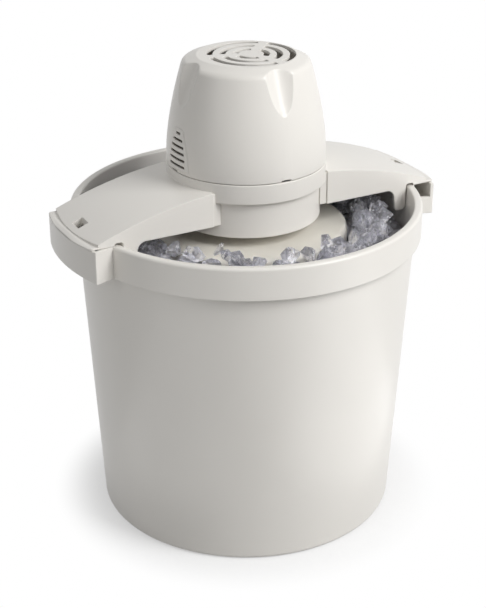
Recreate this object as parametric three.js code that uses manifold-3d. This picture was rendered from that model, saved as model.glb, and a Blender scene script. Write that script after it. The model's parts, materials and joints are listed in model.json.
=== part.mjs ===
// A motor-driven bucket ice cream freezer. A can with a dasher turns in a bucket of ice and salt, and the
// head that drives it spans the bucket on two wings and locks into the bucket's brackets with a short turn.
// Millimetres. X runs along the wings, Z is up, and the origin is the middle of the bucket's base.

import * as THREE from 'three';
import { mergeVertices } from 'three/addons/utils/BufferGeometryUtils.js';
import Module from 'manifold-3d';

const wasm = await Module();
wasm.setup();

// General
const gap = 0.3;               // clearance between two pieces that touch
const past = 1;                // how far a cutter runs past the face it cuts
const roundSegments = 40;      // large turned pieces
const middleSegments = 24;     // hubs, bushes and slots
const smallSegments = 12;      // shafts, holes and bosses

// Ice bucket
const baseRadius = 127;
const baseEdge = 4;            // rounding of the bottom edge
const footWidth = 11;          // ring that the bucket stands on
const footHeight = 1.5;
const mouthRadius = 139.2;     // inside of the mouth
const bucketWall = 2.7;
const bucketFloor = 3;
const floorFillet = 6;
const collarOverhang = 4.1;    // collar skirt beyond the body at the rim
const collarWall = 2.4;
const collarHeight = 26.8;
const rimRound = 2.4;
const rimRoof = 5.4;           // solid height of the rim above the collar's hollow

// Pivot for the can
const pivotRadius = 5.5;
const pivotHeight = 8.5;
const capWall = 1.6;

// Lock brackets, one at each end of the bar
const bracketReach = 17.5;     // beyond the collar
const bracketHalfAngle = 17;   // degrees
const bracketWall = 3;
const bracketFloor = 3;
const notchDepth = 12;

// Can and lid
const canRadius = 79;
const canTaper = 2;            // how much narrower the can is at its floor
const canWall = 1;
const canHeight = 238.2;
const canStand = 7.5;          // can above the bucket's floor
const canFillet = 3;
const beadWidth = 2.8;
const beadHeight = 4;
const dimpleDepth = 6;
const lidWall = 2.5;
const lidEdge = 5;             // rounding of the lid's edge
const lidSkirt = 18.5;
const lidNotchWidth = 16;
const lidNotchHeight = 14;
const lidNotches = 4;
const lidNotchAngle = 36.5;    // degrees, of the first notch
const lidPlugDepth = 6;

// Dasher
const stemRadius = 8;
const stemSquare = 11;         // across the flats
const paddleClearance = 1.4;
const paddleThickness = 4;
const bladeWidth = 16;
const bladeTurn = 28;          // degrees that the outer blades lean into the turn
const armHeight = 9;
const armCount = 4;
const paddleBottom = 10;       // above the can's floor
const paddleTop = 9;           // below the can's mouth

// Drive dogs between the head and the lid
const dogInner = 11.4;
const dogOuter = 16.4;
const dogHeight = 6.6;
const dogSpan = 40;            // degrees
const dogLead = 137;           // degrees from a lid dog to the hub dog behind the next one

// Head heights
const rimDrop = 20.4;          // lid top below the bucket's rim
const drumLift = 9.1;          // drum above the lid
const housingWall = 2.5;
const drumRadius = 61.4;
const ringOverhang = 4.3;      // ring beyond the drum
const ringHeight = 16.4;
const seamHeight = 0.6;        // open line between ring and motor cover
const seamStep = 0.3;          // motor cover inside the ring's face

// Wings
const wingHalfWidth = 43;
const wingCrown = 30.2;        // top of the wing above the rim at its highest
const wingCrownRadius = 360;
const wingCrownStart = 20;     // from the axis to the highest point
const wingSideDrop = 0.7;      // side wall reaches this far below the rim
const wingTipOverhang = 0.5;   // wing tip beyond the bracket's outer face
const lipWidth = 6.2;
const lipThickness = 2;
const footDrop = 19.9;
const footLength = 8;
const footClearance = 1.5;     // to the bucket's inner wall
const windowLength = 8.6;
const windowWidth = 13;
const windowInset = 11.2;      // window's outer edge from the wing tip

// Lock tongue under each window, and its keeper in the bracket
const tongueLength = 5.5;
const tongueClearance = 1;     // to the collar
const tongueWeb = 2.5;
const tongueReach = 13.5;      // length of the barb along the turn
const barbThickness = 2.5;
const barbDrop = 8.2;          // barb's top below the wing tip
const keeperThickness = 2.5;
const keeperLead = 2.2;        // from barb to keeper, as it stands
const keeperLength = 12;

// Motor cover
const coverHeight = 85;
const coverBulge = 0.8;
const coverBulgeHeight = 31;
const shoulderRadius = 54.3;
const shoulderDrop = 7.6;      // shoulder below the top
const topFlat = 46;
const topCorner = 52.6;
const coverWall = 2.5;
const fluteCount = 4;
const fluteHalfWidth = 16;
const fluteDepth = 4.2;
const fluteLength = 33;
const grilleOffset = 4;        // grille centre from the axis, towards the motor shaft
const slotInner = 10;
const slotWidth = 5;
const slotPitch = 10.4;
const slotRings = 3;
const spokeWidth = 7.5;
const spokeAngle = 45;         // degrees, of the first spoke
const ventCount = 6;
const ventPitch = 5.1;
const ventHeight = 1.9;
const ventBottom = 5.5;        // lowest vent above the seam
const ventWide = 26;
const ventNarrow = 8;
const cordHole = 4.6;
const cordHeight = 14;         // cord inlet above the seam
const grommetWall = 1.2;
const grommetFlange = 1.6;     // flange beyond the hole
const grommetInside = 6;       // from the cover's face to the grommet's inner end
const grommetInnerFlange = 1.8;
const grommetOutside = 2.6;    // from the cover's face to the grommet's outer end
const grommetSeat = 0.6;       // outer flange off the curved face
const grommetTaper = 0.4;      // outer flange narrows towards its end

// Gear train: teeth, modules and face widths
const toothMotor = 10;
const toothFirst = 50;
const toothFirstPinion = 12;
const toothSecond = 48;
const toothSecondPinion = 16;
const toothOutput = 40;
const moduleMotor = 0.6;
const moduleMiddle = 0.8;
const moduleOutput = 1.25;
const outputFace = 8;
const middleFace = 6;
const motorFace = 7;
const layerGap = 1.7;
const gearTopRoom = 3.8;
const hubRadius = 17;
const stemBore = 10.4;
const pinRadius = 2;
const pinCollar = 3;
const bushWall = 2.2;
const plateThickness = 3;
const socketRadius = 9.6;
const socketFlange = 12.5;
const socketFlangeThickness = 2.5;
const shaftAngle = -28;        // degrees, of the motor shaft from the axis
const firstAngle = 110.9;      // degrees, from first gear to motor shaft
const secondAngle = 28.7;      // degrees, from second gear to first gear
const outputAngle = -93.7;     // degrees, from output gear to second gear

// Motor
const standoff = 6;
const bracketThickness = 3;
const coreHeight = 28;
const rotorRadius = 16;
const rotorHeight = 24;
const shaftRadius = 2.5;
const poleLength = 24;         // core beyond the shaft, away from the coil
const coreHalfWidth = 26;
const coilWindow = 16;
const coilWindowHalf = 15;
const coreLeg = 11;
const coreBridge = 22;         // shaft to coil window
const bobbinWall = 1.2;
const coilBuild = 8;
const bearingRadius = 6;
const bearingHeight = 6;
const bearingHub = 8.5;
const screwSpread = 21;        // motor screws from the shaft
const motorScrewRadius = 2;
const headRadius = 3.6;
const headHeight = 2.4;
const fanRadius = 34;
const fanHub = 8;
const fanBlades = 7;
const fanHeight = 12;
const fanPlate = 1.5;
const fanBlade = 1.4;
const fanRoom = 7;             // fan below the cover's ceiling

// Housing screws
const housingScrews = 4;
const screwInset = 8;          // screws in from the drum's face
const screwBoss = 4.8;
const screwLength = 62;
const screwStart = 45;         // degrees

// Heights worked out from the sizes above
const floorTop = footHeight + bucketFloor;
const canBottom = floorTop + canStand;
const canTop = canBottom + canHeight;
const lidTop = canTop + gap + lidWall;
const rimTop = lidTop + rimDrop;
const collarBottom = rimTop - collarHeight;
const collarRadius = mouthRadius + bucketWall + collarOverhang;
const bracketRadius = collarRadius + bracketReach;
const tipUnder = rimTop + gap;
const tipRadius = bracketRadius + wingTipOverhang;
const drumBottom = lidTop + drumLift;
const gearcaseFloor = drumBottom + gap + bracketThickness;
const outputBottom = gearcaseFloor + 4 * gap;
const middleBottom = outputBottom + outputFace + layerGap;
const motorGearBottom = middleBottom + middleFace + layerGap;
const plateBottom = motorGearBottom + motorFace + gearTopRoom;
const plateTop = plateBottom + plateThickness;
const shelfTop = plateBottom - gap;
const ringBottom = shelfTop - housingWall;
const ringTop = ringBottom + ringHeight;
const ringRadius = drumRadius + ringOverhang;
const screwCircle = drumRadius - screwInset;
const coverBottom = ringTop + seamHeight;
const coverTop = coverBottom + coverHeight;
const coverCeiling = coverTop - coverWall;

// Gear centres
const outputCentre = new THREE.Vector2(0, 0);
const secondCentre = away(outputCentre, outputAngle, centreDistance(toothSecondPinion, toothOutput,
  moduleOutput));
const firstCentre = away(secondCentre, secondAngle, centreDistance(toothFirstPinion, toothSecond,
  moduleMiddle));
const motorCentre = away(firstCentre, firstAngle, centreDistance(toothMotor, toothFirst, moduleMotor));
const grilleCentre = away(outputCentre, shaftAngle, grilleOffset);

function degrees(angle) {
  return THREE.MathUtils.degToRad(angle);
}

function away(centre, angle, distance) {
  const turn = degrees(angle);
  return new THREE.Vector2(centre.x + distance * Math.cos(turn), centre.y + distance * Math.sin(turn));
}

function centreDistance(teethA, teethB, module) {
  return module * (teethA + teethB) / 2;
}

// Solids

function solid(geometry) {
  const bare = geometry.index ? geometry.toNonIndexed() : geometry.clone();
  for (const name of Object.keys(bare.attributes)) {
    if (name !== 'position') bare.deleteAttribute(name);
  }
  const merged = mergeVertices(bare, 1e-4);
  const points = merged.attributes.position.array;
  const faces = [];
  const index = merged.index.array;
  for (let i = 0; i < index.length; i += 3) {
    const [a, b, c] = [index[i], index[i + 1], index[i + 2]];
    if (a !== b && b !== c && a !== c) faces.push(a, b, c);
  }
  if (signedVolume(points, faces) < 0) faces.reverse();
  return new wasm.Manifold(new wasm.Mesh({
    numProp: 3,
    vertProperties: new Float32Array(points),
    triVerts: new Uint32Array(faces),
  }));
}

function signedVolume(points, faces) {
  const corner = (i) => new THREE.Vector3(points[3 * i], points[3 * i + 1], points[3 * i + 2]);
  let sum = 0;
  for (let i = 0; i < faces.length; i += 3) {
    sum += corner(faces[i]).dot(corner(faces[i + 1]).cross(corner(faces[i + 2])));
  }
  return sum;
}

function turned(profile, segments = roundSegments) {
  const points = profile.map(([radius, z]) => new THREE.Vector2(radius, z));
  if (points[0].x > 0) points.push(points[0].clone());
  const geometry = new THREE.LatheGeometry(points, segments);
  geometry.rotateX(Math.PI / 2);
  return solid(geometry);
}

function extruded(shape, bottom, top) {
  const geometry = new THREE.ExtrudeGeometry(shape, { depth: top - bottom, bevelEnabled: false,
    curveSegments: 8 });
  geometry.translate(0, 0, bottom);
  return solid(geometry);
}

function polygon(points) {
  return new THREE.Shape(points.map(([x, y]) => new THREE.Vector2(x, y)));
}

// A side view in X and Z, carried from one Y to the other
function sideways(points, fromY, toY) {
  const geometry = new THREE.ExtrudeGeometry(polygon(points), { depth: toY - fromY, bevelEnabled: false });
  geometry.rotateX(Math.PI / 2);
  geometry.translate(0, toY, 0);
  return solid(geometry);
}

function block(fromX, toX, fromY, toY, bottom, top) {
  const geometry = new THREE.BoxGeometry(toX - fromX, toY - fromY, top - bottom);
  geometry.translate((fromX + toX) / 2, (fromY + toY) / 2, (bottom + top) / 2);
  return solid(geometry);
}

function rod(radius, bottom, top, centre = outputCentre, segments = smallSegments) {
  const geometry = new THREE.CylinderGeometry(radius, radius, top - bottom, segments);
  geometry.rotateX(Math.PI / 2);
  geometry.translate(centre.x, centre.y, (bottom + top) / 2);
  return solid(geometry);
}

function ring(outer, inner, bottom, top, centre = outputCentre, segments = smallSegments) {
  return turned([[inner, bottom], [outer, bottom], [outer, top], [inner, top]], segments)
    .translate([centre.x, centre.y, 0]);
}

// Part of a ring between two angles
function sector(outer, inner, fromAngle, toAngle, bottom, top) {
  const shape = new THREE.Shape();
  shape.absarc(0, 0, outer, degrees(fromAngle), degrees(toAngle), false);
  shape.absarc(0, 0, inner, degrees(toAngle), degrees(fromAngle), true);
  return extruded(shape, bottom, top);
}

function joined(...pieces) {
  return pieces.flat().reduce((whole, piece) => whole.add(piece));
}

function cut(body, ...cutters) {
  return cutters.flat().reduce((rest, cutter) => rest.subtract(cutter), body);
}

function around(count, make, firstAngle = 0) {
  return Array.from({ length: count }, (_, i) => make(firstAngle + i * 360 / count, i));
}

// The same thing at both ends of the bar
function bothEnds(piece) {
  return [piece, piece.rotate([0, 0, 180])];
}

// Points of a quarter round from one corner to the next
function roundedCorner(centreR, centreZ, radius, fromAngle, toAngle, steps = 3) {
  return Array.from({ length: steps + 1 }, (_, i) => {
    const angle = degrees(fromAngle + (toAngle - fromAngle) * i / steps);
    return [centreR + radius * Math.cos(angle), centreZ + radius * Math.sin(angle)];
  });
}

function bend(from, control, to, steps) {
  const curve = new THREE.QuadraticBezierCurve(new THREE.Vector2(...from), new THREE.Vector2(...control),
    new THREE.Vector2(...to));
  return curve.getPoints(steps).map((point) => [point.x, point.y]);
}

// Ice bucket

function bucketOuter(z) {
  return baseRadius + (mouthRadius + bucketWall - baseRadius) * z / rimTop;
}

function bucketInner(z) {
  return bucketOuter(z) - bucketWall;
}

function iceBucket() {
  const standOuter = baseRadius - baseEdge;
  const roofZ = rimTop - rimRoof;
  const body = turned([
    [0, footHeight],
    [standOuter - footWidth, footHeight],
    [standOuter - footWidth + footHeight, 0],
    ...roundedCorner(standOuter, baseEdge, baseEdge, -90, 0),
    [bucketOuter(roofZ), roofZ],
    [collarRadius - collarWall, roofZ],
    [collarRadius - collarWall, collarBottom],
    [collarRadius, collarBottom],
    ...roundedCorner(collarRadius - rimRound, rimTop - rimRound, rimRound, 0, 90, 3),
    ...roundedCorner(mouthRadius + rimRound / 2, rimTop - rimRound / 2, rimRound / 2, 90, 180, 2),
    [bucketInner(floorTop + floorFillet), floorTop + floorFillet],
    ...roundedCorner(bucketInner(floorTop + floorFillet) - floorFillet, floorTop + floorFillet,
      floorFillet, 0, -90).slice(1),
    [0, floorTop],
  ]);
  const pivot = rod(pivotRadius, floorTop - past, floorTop + pivotHeight);
  return joined(body, pivot, bothEnds(lockBracket()));
}

function lockBracket() {
  const innerRadius = collarRadius - collarWall / 2;
  const shell = sector(bracketRadius, innerRadius, -bracketHalfAngle, bracketHalfAngle, collarBottom,
    rimTop);
  const wallAngle = THREE.MathUtils.radToDeg(bracketWall / bracketRadius);
  const pocketHalf = bracketHalfAngle - wallAngle;
  const pocket = sector(bracketRadius - bracketWall, collarRadius, -pocketHalf, pocketHalf,
    collarBottom + bracketFloor, rimTop + past);
  const notch = sector(bracketRadius - bracketWall, collarRadius, -bracketHalfAngle - wallAngle,
    -pocketHalf + wallAngle,
    rimTop - notchDepth, rimTop + past);
  const keeperStart = tongueReach / 2 + keeperLead;
  const keeperTop = tipUnder - barbDrop + keeperThickness + gap;
  const keeper = block(innerRadius, bracketRadius - bracketWall / 2, keeperStart,
    keeperStart + keeperLength,
    keeperTop - keeperThickness, keeperTop);
  return joined(cut(shell, pocket, notch), keeper);
}

function pivotCap() {
  const top = canBottom + dimpleDepth - gap;
  const inside = pivotRadius + gap;
  return turned([
    [inside, floorTop + gap],
    [inside + 2 * capWall, floorTop + gap],
    [inside + capWall, floorTop + canStand],
    [inside + capWall, top - capWall],
    [inside, top],
    [0, top],
    [0, floorTop + pivotHeight + gap],
    [inside, floorTop + pivotHeight + gap],
  ].reverse(), smallSegments);
}

// Can, lid and dasher

function canister() {
  const floorRadius = canRadius - canTaper;
  const dimple = pivotRadius + 2 * gap + capWall;
  const innerFloor = canBottom + canWall;
  return turned([
    [0, canBottom + dimpleDepth],
    [dimple, canBottom + dimpleDepth],
    [dimple + dimpleDepth / 2, canBottom],
    ...roundedCorner(floorRadius - canFillet, canBottom + canFillet, canFillet, -90, 0, 2),
    [canRadius, canTop - beadHeight],
    [canRadius + beadWidth, canTop - beadHeight + beadWidth / 2],
    [canRadius + beadWidth, canTop - beadWidth / 2],
    [canRadius + beadWidth / 2, canTop],
    [canRadius - canWall, canTop],
    ...roundedCorner(floorRadius - canFillet, innerFloor + canFillet, canFillet - canWall, 0, -90, 2),
    [dimple + dimpleDepth / 2, innerFloor],
    [dimple, canBottom + dimpleDepth + canWall],
    [0, canBottom + dimpleDepth + canWall],
  ]);
}

function canisterLid() {
  const inner = canRadius + beadWidth + gap;
  const outer = inner + lidWall;
  const underside = lidTop - lidWall;
  const skirtBottom = lidTop - lidSkirt;
  const plugOuter = canRadius - canWall - gap;
  const cap = turned([
    [stemRadius + gap, underside],
    [plugOuter - lidWall, underside],
    [plugOuter - lidWall, underside - lidPlugDepth],
    [plugOuter, underside - lidPlugDepth],
    [plugOuter, underside],
    [inner - beadWidth / 2, underside],
    [inner, underside - beadWidth / 2],
    [inner, skirtBottom],
    [outer, skirtBottom],
    ...roundedCorner(outer - lidEdge, lidTop - lidEdge, lidEdge, 0, 90, 3),
    [stemRadius + gap, lidTop],
  ]);
  const notches = around(lidNotches, (angle) => block(inner - past, outer + past, -lidNotchWidth / 2,
    lidNotchWidth / 2,
    skirtBottom - past, skirtBottom + lidNotchHeight).rotate([0, 0, angle]), lidNotchAngle);
  const dogs = around(2, (angle) => sector(dogOuter, dogInner, angle - dogSpan / 2, angle + dogSpan / 2,
    lidTop - lidWall / 2, lidTop + dogHeight));
  return joined(cut(cap, notches), dogs);
}

function dasher() {
  const bottom = canBottom + canWall + paddleBottom;
  const top = canTop - paddleTop;
  const reach = (z) => canRadius - canWall - canTaper * (canTop - z) / canHeight - paddleClearance;
  const stemFoot = canBottom + dimpleDepth + canWall + gap;
  const stemTop = plateBottom - socketFlangeThickness - 2 * gap;
  const stem = rod(stemRadius, stemFoot, middleBottom);
  const square = block(-stemSquare / 2, stemSquare / 2, -stemSquare / 2, stemSquare / 2,
    middleBottom - past, stemTop);
  const armPitch = (top - bottom - armHeight) / (armCount - 1);
  const arms = Array.from({ length: armCount }, (_, i) => {
    const z = bottom + i * armPitch;
    const length = reach(z) - bladeWidth / 2;
    return block(-length, length, -paddleThickness / 2, paddleThickness / 2, z, z + armHeight);
  });
  const blade = sideways([
    [reach(bottom) - bladeWidth, bottom],
    [reach(bottom) - 1, bottom],
    [reach(top) - 1, top],
    [reach(top) - bladeWidth, top],
  ], -paddleThickness / 2, paddleThickness / 2);
  const pivotX = reach(bottom) - bladeWidth;
  const lean = blade.translate([-pivotX, 0, 0]).rotate([0, 0, -bladeTurn]).translate([pivotX, 0, 0]);
  return joined(stem, square, arms, bothEnds(lean));
}

// Gears

function gear(teeth, module, bottom, top, centre, phase) {
  const pitchRadius = module * teeth / 2;
  const tip = pitchRadius + 0.9 * module;
  const root = pitchRadius - 1.2 * module;
  const step = 2 * Math.PI / teeth;
  const halfRoot = 0.36 * step;
  const halfTip = 0.11 * step;
  const shape = new THREE.Shape();
  const outline = [];
  for (let i = 0; i < teeth; i += 1) {
    const middle = phase + i * step;
    for (const [radius, offset] of [[root, -halfRoot], [tip, -halfTip], [tip, halfTip], [root, halfRoot]]) {
      outline.push(new THREE.Vector2(centre.x + radius * Math.cos(middle + offset),
        centre.y + radius * Math.sin(middle + offset)));
    }
  }
  shape.setFromPoints(outline);
  return extruded(shape, bottom, top);
}

// Turns the driven gear so that its gap faces the driver's tooth on the line between their centres
function meshPhase(driverTeeth, driverPhase, driverCentre, teeth, centre) {
  const line = Math.atan2(centre.y - driverCentre.y, centre.x - driverCentre.x);
  const driverTooth = (line - driverPhase) * driverTeeth / (2 * Math.PI);
  return line + Math.PI - (0.5 - driverTooth) * 2 * Math.PI / teeth;
}

const motorPhase = 0;
const firstPhase = meshPhase(toothMotor, motorPhase, motorCentre, toothFirst, firstCentre);
const secondPhase = meshPhase(toothFirstPinion, firstPhase, firstCentre, toothSecond, secondCentre);
const outputPhase = meshPhase(toothSecondPinion, secondPhase, secondCentre, toothOutput, outputCentre);

function motorPinion() {
  const body = gear(toothMotor, moduleMotor, motorGearBottom, motorGearBottom + motorFace, motorCentre,
    motorPhase);
  return cut(body, rod(pinionShaft + gap / 2, motorGearBottom - past, motorGearBottom + motorFace + past,
    motorCentre));
}

function firstGear() {
  const wheel = gear(toothFirst, moduleMotor, motorGearBottom, motorGearBottom + motorFace, firstCentre,
    firstPhase);
  const pinion = gear(toothFirstPinion, moduleMiddle, middleBottom, motorGearBottom + gap, firstCentre,
    firstPhase);
  return cut(joined(wheel, pinion), rod(pinRadius + gap, middleBottom - past,
    motorGearBottom + motorFace + past, firstCentre));
}

function secondGear() {
  const wheel = gear(toothSecond, moduleMiddle, middleBottom, middleBottom + middleFace, secondCentre,
    secondPhase);
  const pinion = gear(toothSecondPinion, moduleOutput, outputBottom, middleBottom + gap, secondCentre,
    secondPhase);
  return cut(joined(wheel, pinion), rod(pinRadius + gap, outputBottom - past,
    middleBottom + middleFace + past, secondCentre));
}

function outputGear() {
  const wheel = gear(toothOutput, moduleOutput, outputBottom, outputBottom + outputFace, outputCentre,
    outputPhase);
  const hubBottom = lidTop + dogHeight + 2 * gap;
  const hub = rod(hubRadius, hubBottom, outputBottom + gap, outputCentre, middleSegments);
  const dogs = around(2, (angle) => sector(dogOuter, dogInner, angle - dogSpan / 2, angle + dogSpan / 2,
    lidTop + 3 * gap, hubBottom + gap), dogLead);
  const bore = rod(stemBore, hubBottom - past, outputBottom + outputFace + past, outputCentre,
    middleSegments);
  return joined(cut(joined(wheel, hub), bore), dogs);
}

function gearShaft(centre, shoulder) {
  return joined(
    rod(pinRadius, gearcaseFloor - plateThickness / 2, plateTop - gap, centre),
    rod(pinCollar, gearcaseFloor + gap, shoulder - gap, centre),
  );
}

// Head housing

// Side and shoulder of the motor cover, or of its inside with an inset
function coverProfile(inset, sideSteps, shoulderSteps) {
  const seamRadius = ringRadius - seamStep - inset;
  const side = bend([seamRadius, coverBottom], [seamRadius + coverBulge, coverBottom + coverBulgeHeight],
    [shoulderRadius - inset, coverTop - shoulderDrop], sideSteps);
  const shoulder = bend([shoulderRadius - inset, coverTop - shoulderDrop],
    [topCorner - inset, coverTop - inset],
    [topFlat - inset, coverTop - inset], shoulderSteps);
  return [...side, ...shoulder.slice(1)];
}

function flute(angle, extra) {
  const sphere = new THREE.SphereGeometry(1, extra > 0 ? 8 : 14, extra > 0 ? 6 : 10);
  sphere.rotateX(Math.PI / 2);
  sphere.scale(fluteDepth * 2 + extra, fluteHalfWidth + extra, fluteLength + extra);
  sphere.rotateY(degrees(-11));
  sphere.translate(shoulderRadius + fluteDepth + extra / 2, 0, coverTop - shoulderDrop / 2);
  return solid(sphere).rotate([0, 0, angle]);
}

function grilleSlots() {
  const rings = Array.from({ length: slotRings }, (_, i) => {
    const inner = slotInner + i * slotPitch;
    return ring(inner + slotWidth, inner, coverCeiling - past, coverTop + past, grilleCentre,
      middleSegments);
  });
  const reach = slotInner + slotRings * slotPitch;
  const spokes = around(3, (angle) => block(0, reach, -spokeWidth / 2, spokeWidth / 2,
    coverCeiling - 2 * past, coverTop + 2 * past)
    .rotate([0, 0, angle]).translate([grilleCentre.x, grilleCentre.y, 0]), spokeAngle);
  return rings.map((slot) => cut(slot, spokes));
}

function ventSlots() {
  return Array.from({ length: ventCount }, (_, i) => {
    const half = (ventWide + (ventNarrow - ventWide) * (i / (ventCount - 1)) ** 1.6) / 2;
    const bottom = coverBottom + ventBottom + i * ventPitch;
    return block(ringRadius / 2, ringRadius + past, -half, half, bottom, bottom + ventHeight);
  });
}

function motorCover() {
  const outside = turned([[0, coverBottom], ...coverProfile(0, 5, 3), [0, coverTop]]);
  const inside = turned([[0, coverBottom - past], [ringRadius - seamStep - coverWall, coverBottom - past],
    ...coverProfile(coverWall, 3, 2), [0, coverCeiling]]);
  const flutes = around(fluteCount, (angle) => flute(angle, 0));
  const backed = around(fluteCount, (angle) => flute(angle, coverWall));
  const bosses = around(housingScrews, (angle) => {
    const top = plateTop + gap + screwLength / 2;
    const web = block(screwCircle, ringRadius, -coverWall / 2, coverWall / 2, plateTop + gap, top);
    return joined(rod(screwBoss, plateTop + gap, top, new THREE.Vector2(screwCircle, 0)), web)
      .rotate([0, 0, angle]);
  }, screwStart);
  const keepIn = turned([[0, plateTop + gap], [ringRadius - housingWall - gap, plateTop + gap],
    [ringRadius - housingWall - gap, coverBottom + gap], ...coverProfile(coverWall / 2, 3, 2).slice(1),
    [0, coverTop - coverWall / 2]]);
  const holes = around(housingScrews, (angle) => housingScrewSolid(gap).rotate([0, 0, angle]), screwStart);
  const shell = cut(cut(outside, flutes), cut(inside, backed), grilleSlots(), ventSlots()
    .flatMap(bothEnds));
  const inlet = cordPath(cordHole);
  return cut(joined(shell, joined(bosses).intersect(keepIn)), holes, inlet);
}

function cordPath(radius) {
  const geometry = new THREE.CylinderGeometry(radius, radius, ringRadius, smallSegments);
  geometry.translate(0, ringRadius, coverBottom + cordHeight);
  return solid(geometry);
}

function cordGrommet() {
  const face = ringRadius - seamStep;
  const bore = cordHole - 2 * gap - grommetWall;
  const innerEnd = face - grommetInside;
  const outerEnd = face + grommetOutside;
  const innerFlangeEnd = innerEnd + grommetInnerFlange;
  const profile = [
    [bore, innerEnd],
    [cordHole + grommetFlange, innerEnd],
    [cordHole + grommetFlange, innerFlangeEnd],
    [cordHole - gap, innerFlangeEnd],
    [cordHole - gap, face + grommetSeat],
    [cordHole + grommetFlange, face + grommetSeat],
    [cordHole + grommetFlange - grommetTaper, outerEnd],
    [bore, outerEnd],
  ];
  return turned(profile, smallSegments).rotate([-90, 0, 0]).translate([0, 0, coverBottom + cordHeight]);
}

// Top of the wing from the axis outwards, or its underside with an inset
function wingTopLine(inset, last) {
  const centreZ = rimTop + wingCrown - wingCrownRadius;
  const radius = wingCrownRadius - inset;
  const steps = 14;
  return Array.from({ length: steps + 1 }, (_, i) => {
    const x = last * i / steps;
    const out = Math.max(0, x - wingCrownStart);
    return [x, centreZ + Math.sqrt(radius * radius - out * out)];
  });
}

function wing() {
  const footRadius = mouthRadius - footClearance;
  const hollowRadius = footRadius - housingWall;
  const half = wingHalfWidth;
  const innerHalf = half - housingWall;
  const under = rimTop - wingSideDrop;
  const lowest = rimTop - footDrop;
  const highest = rimTop + wingCrown + past;
  const upright = (radius) => rod(radius, lowest - 2 * past, highest, outputCentre, roundSegments);

  // The inner part hangs inside the bucket, open below, and ends in a foot along the bucket's wall
  const inner = sideways([[0, under], ...wingTopLine(0, footRadius + past), [footRadius + past, under]],
    -half, half);
  const footStart = hollowRadius - footLength;
  const footSides = [-half, innerHalf]
    .map((y) => block(footStart, footRadius, y, y + housingWall, lowest, under + past));
  const footWall = cut(block(footStart, footRadius, -half, half, lowest, under + past),
    upright(hollowRadius));
  const hollow = sideways([[-past, lowest - past], [-past, rimTop], ...wingTopLine(housingWall,
    footRadius + past),
    [footRadius + past, lowest - past]], -innerHalf, innerHalf).intersect(upright(hollowRadius));
  const hanging = cut(joined(inner, footSides, footWall).intersect(upright(footRadius)), hollow);

  // The tip lies over the rim and the bracket, and steps down to a lip
  const lipTop = tipUnder + lipThickness;
  const slab = sideways([[hollowRadius / 2, tipUnder], ...wingTopLine(0, tipRadius + past)
    .filter(([x]) => x > hollowRadius / 2).map(([x, z]) => [x, Math.max(z, lipTop)]),
      [tipRadius + past, tipUnder]], -half, half);
  const overRim = cut(slab, upright(hollowRadius)).intersect(upright(tipRadius));
  const beyondStep = ring(tipRadius + 2 * past, tipRadius - lipWidth, lipTop, highest, outputCentre,
    roundSegments);
  const windowOuter = tipRadius - windowInset;
  const window = block(windowOuter - windowLength, windowOuter, -windowWidth / 2, windowWidth / 2,
    tipUnder - past, highest);
  return joined(hanging, cut(overRim, beyondStep, window), lockTongue(windowOuter));
}

function lockTongue(windowOuter) {
  const from = collarRadius + tongueClearance;
  const to = Math.min(from + tongueLength, windowOuter);
  const back = -tongueReach / 2 - tongueWeb;
  const barbTop = tipUnder - barbDrop;
  return joined(
    block(from, to, back, back + tongueWeb, barbTop - barbThickness, tipUnder + lipThickness / 2),
    block(from, to, back, tongueReach / 2, barbTop - barbThickness, barbTop),
  );
}

function bridgeHousing() {
  const shell = turned([
    [drumRadius - housingWall, drumBottom],
    [drumRadius - 0.6, drumBottom],
    [drumRadius, drumBottom + 0.6],
    [drumRadius, ringBottom],
    [ringRadius, ringBottom],
    [ringRadius, ringTop],
    [ringRadius - housingWall, ringTop],
    [ringRadius - housingWall, shelfTop],
    [drumRadius - housingWall, shelfTop],
  ]);
  const inRing = rod(ringRadius - housingWall / 2, ringBottom, coverTop, outputCentre, roundSegments);
  const inDrum = rod(drumRadius - housingWall / 2, drumBottom - past, shelfTop, outputCentre,
    roundSegments);
  const wingOutside = cut(wing(), inRing, inDrum);
  const bossRoom = turned([[0, gearcaseFloor + gap], [drumRadius - housingWall / 2, gearcaseFloor + gap],
    [drumRadius - housingWall / 2, shelfTop], [0, shelfTop]]);
  const bosses = around(housingScrews, (angle) => joined(
    rod(screwBoss, gearcaseFloor + gap, shelfTop, new THREE.Vector2(screwCircle, 0)),
    block(screwCircle, drumRadius, -housingWall, housingWall, gearcaseFloor + gap, shelfTop),
  ).rotate([0, 0, angle]), screwStart);
  const holes = around(housingScrews, (angle) => housingScrewSolid(gap).rotate([0, 0, angle]), screwStart);
  return cut(joined(shell, bothEnds(wingOutside), joined(bosses).intersect(bossRoom)), holes);
}

function gearcaseCover() {
  const plate = rod(drumRadius - housingWall - gap, drumBottom + gap, gearcaseFloor, outputCentre,
    roundSegments);
  const bore = rod(hubRadius + gap + bushWall + gap, drumBottom, gearcaseFloor + past, outputCentre,
    roundSegments);
  const pins = [firstCentre, secondCentre]
    .map((centre) => rod(pinRadius + gap, gearcaseFloor - plateThickness / 2 - gap, gearcaseFloor + past,
    centre));
  const holes = around(housingScrews, (angle) => housingScrewSolid(gap).rotate([0, 0, angle]), screwStart);
  return cut(plate, bore, pins, holes);
}

function outputBush() {
  const outer = hubRadius + gap + bushWall;
  return turned([
    [hubRadius + gap, drumBottom + gap],
    [outer, drumBottom + gap],
    [outer, gearcaseFloor + gap],
    [outer + bushWall, gearcaseFloor + gap],
    [outer + bushWall, outputBottom - gap],
    [hubRadius + gap, outputBottom - gap],
  ], middleSegments);
}

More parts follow.
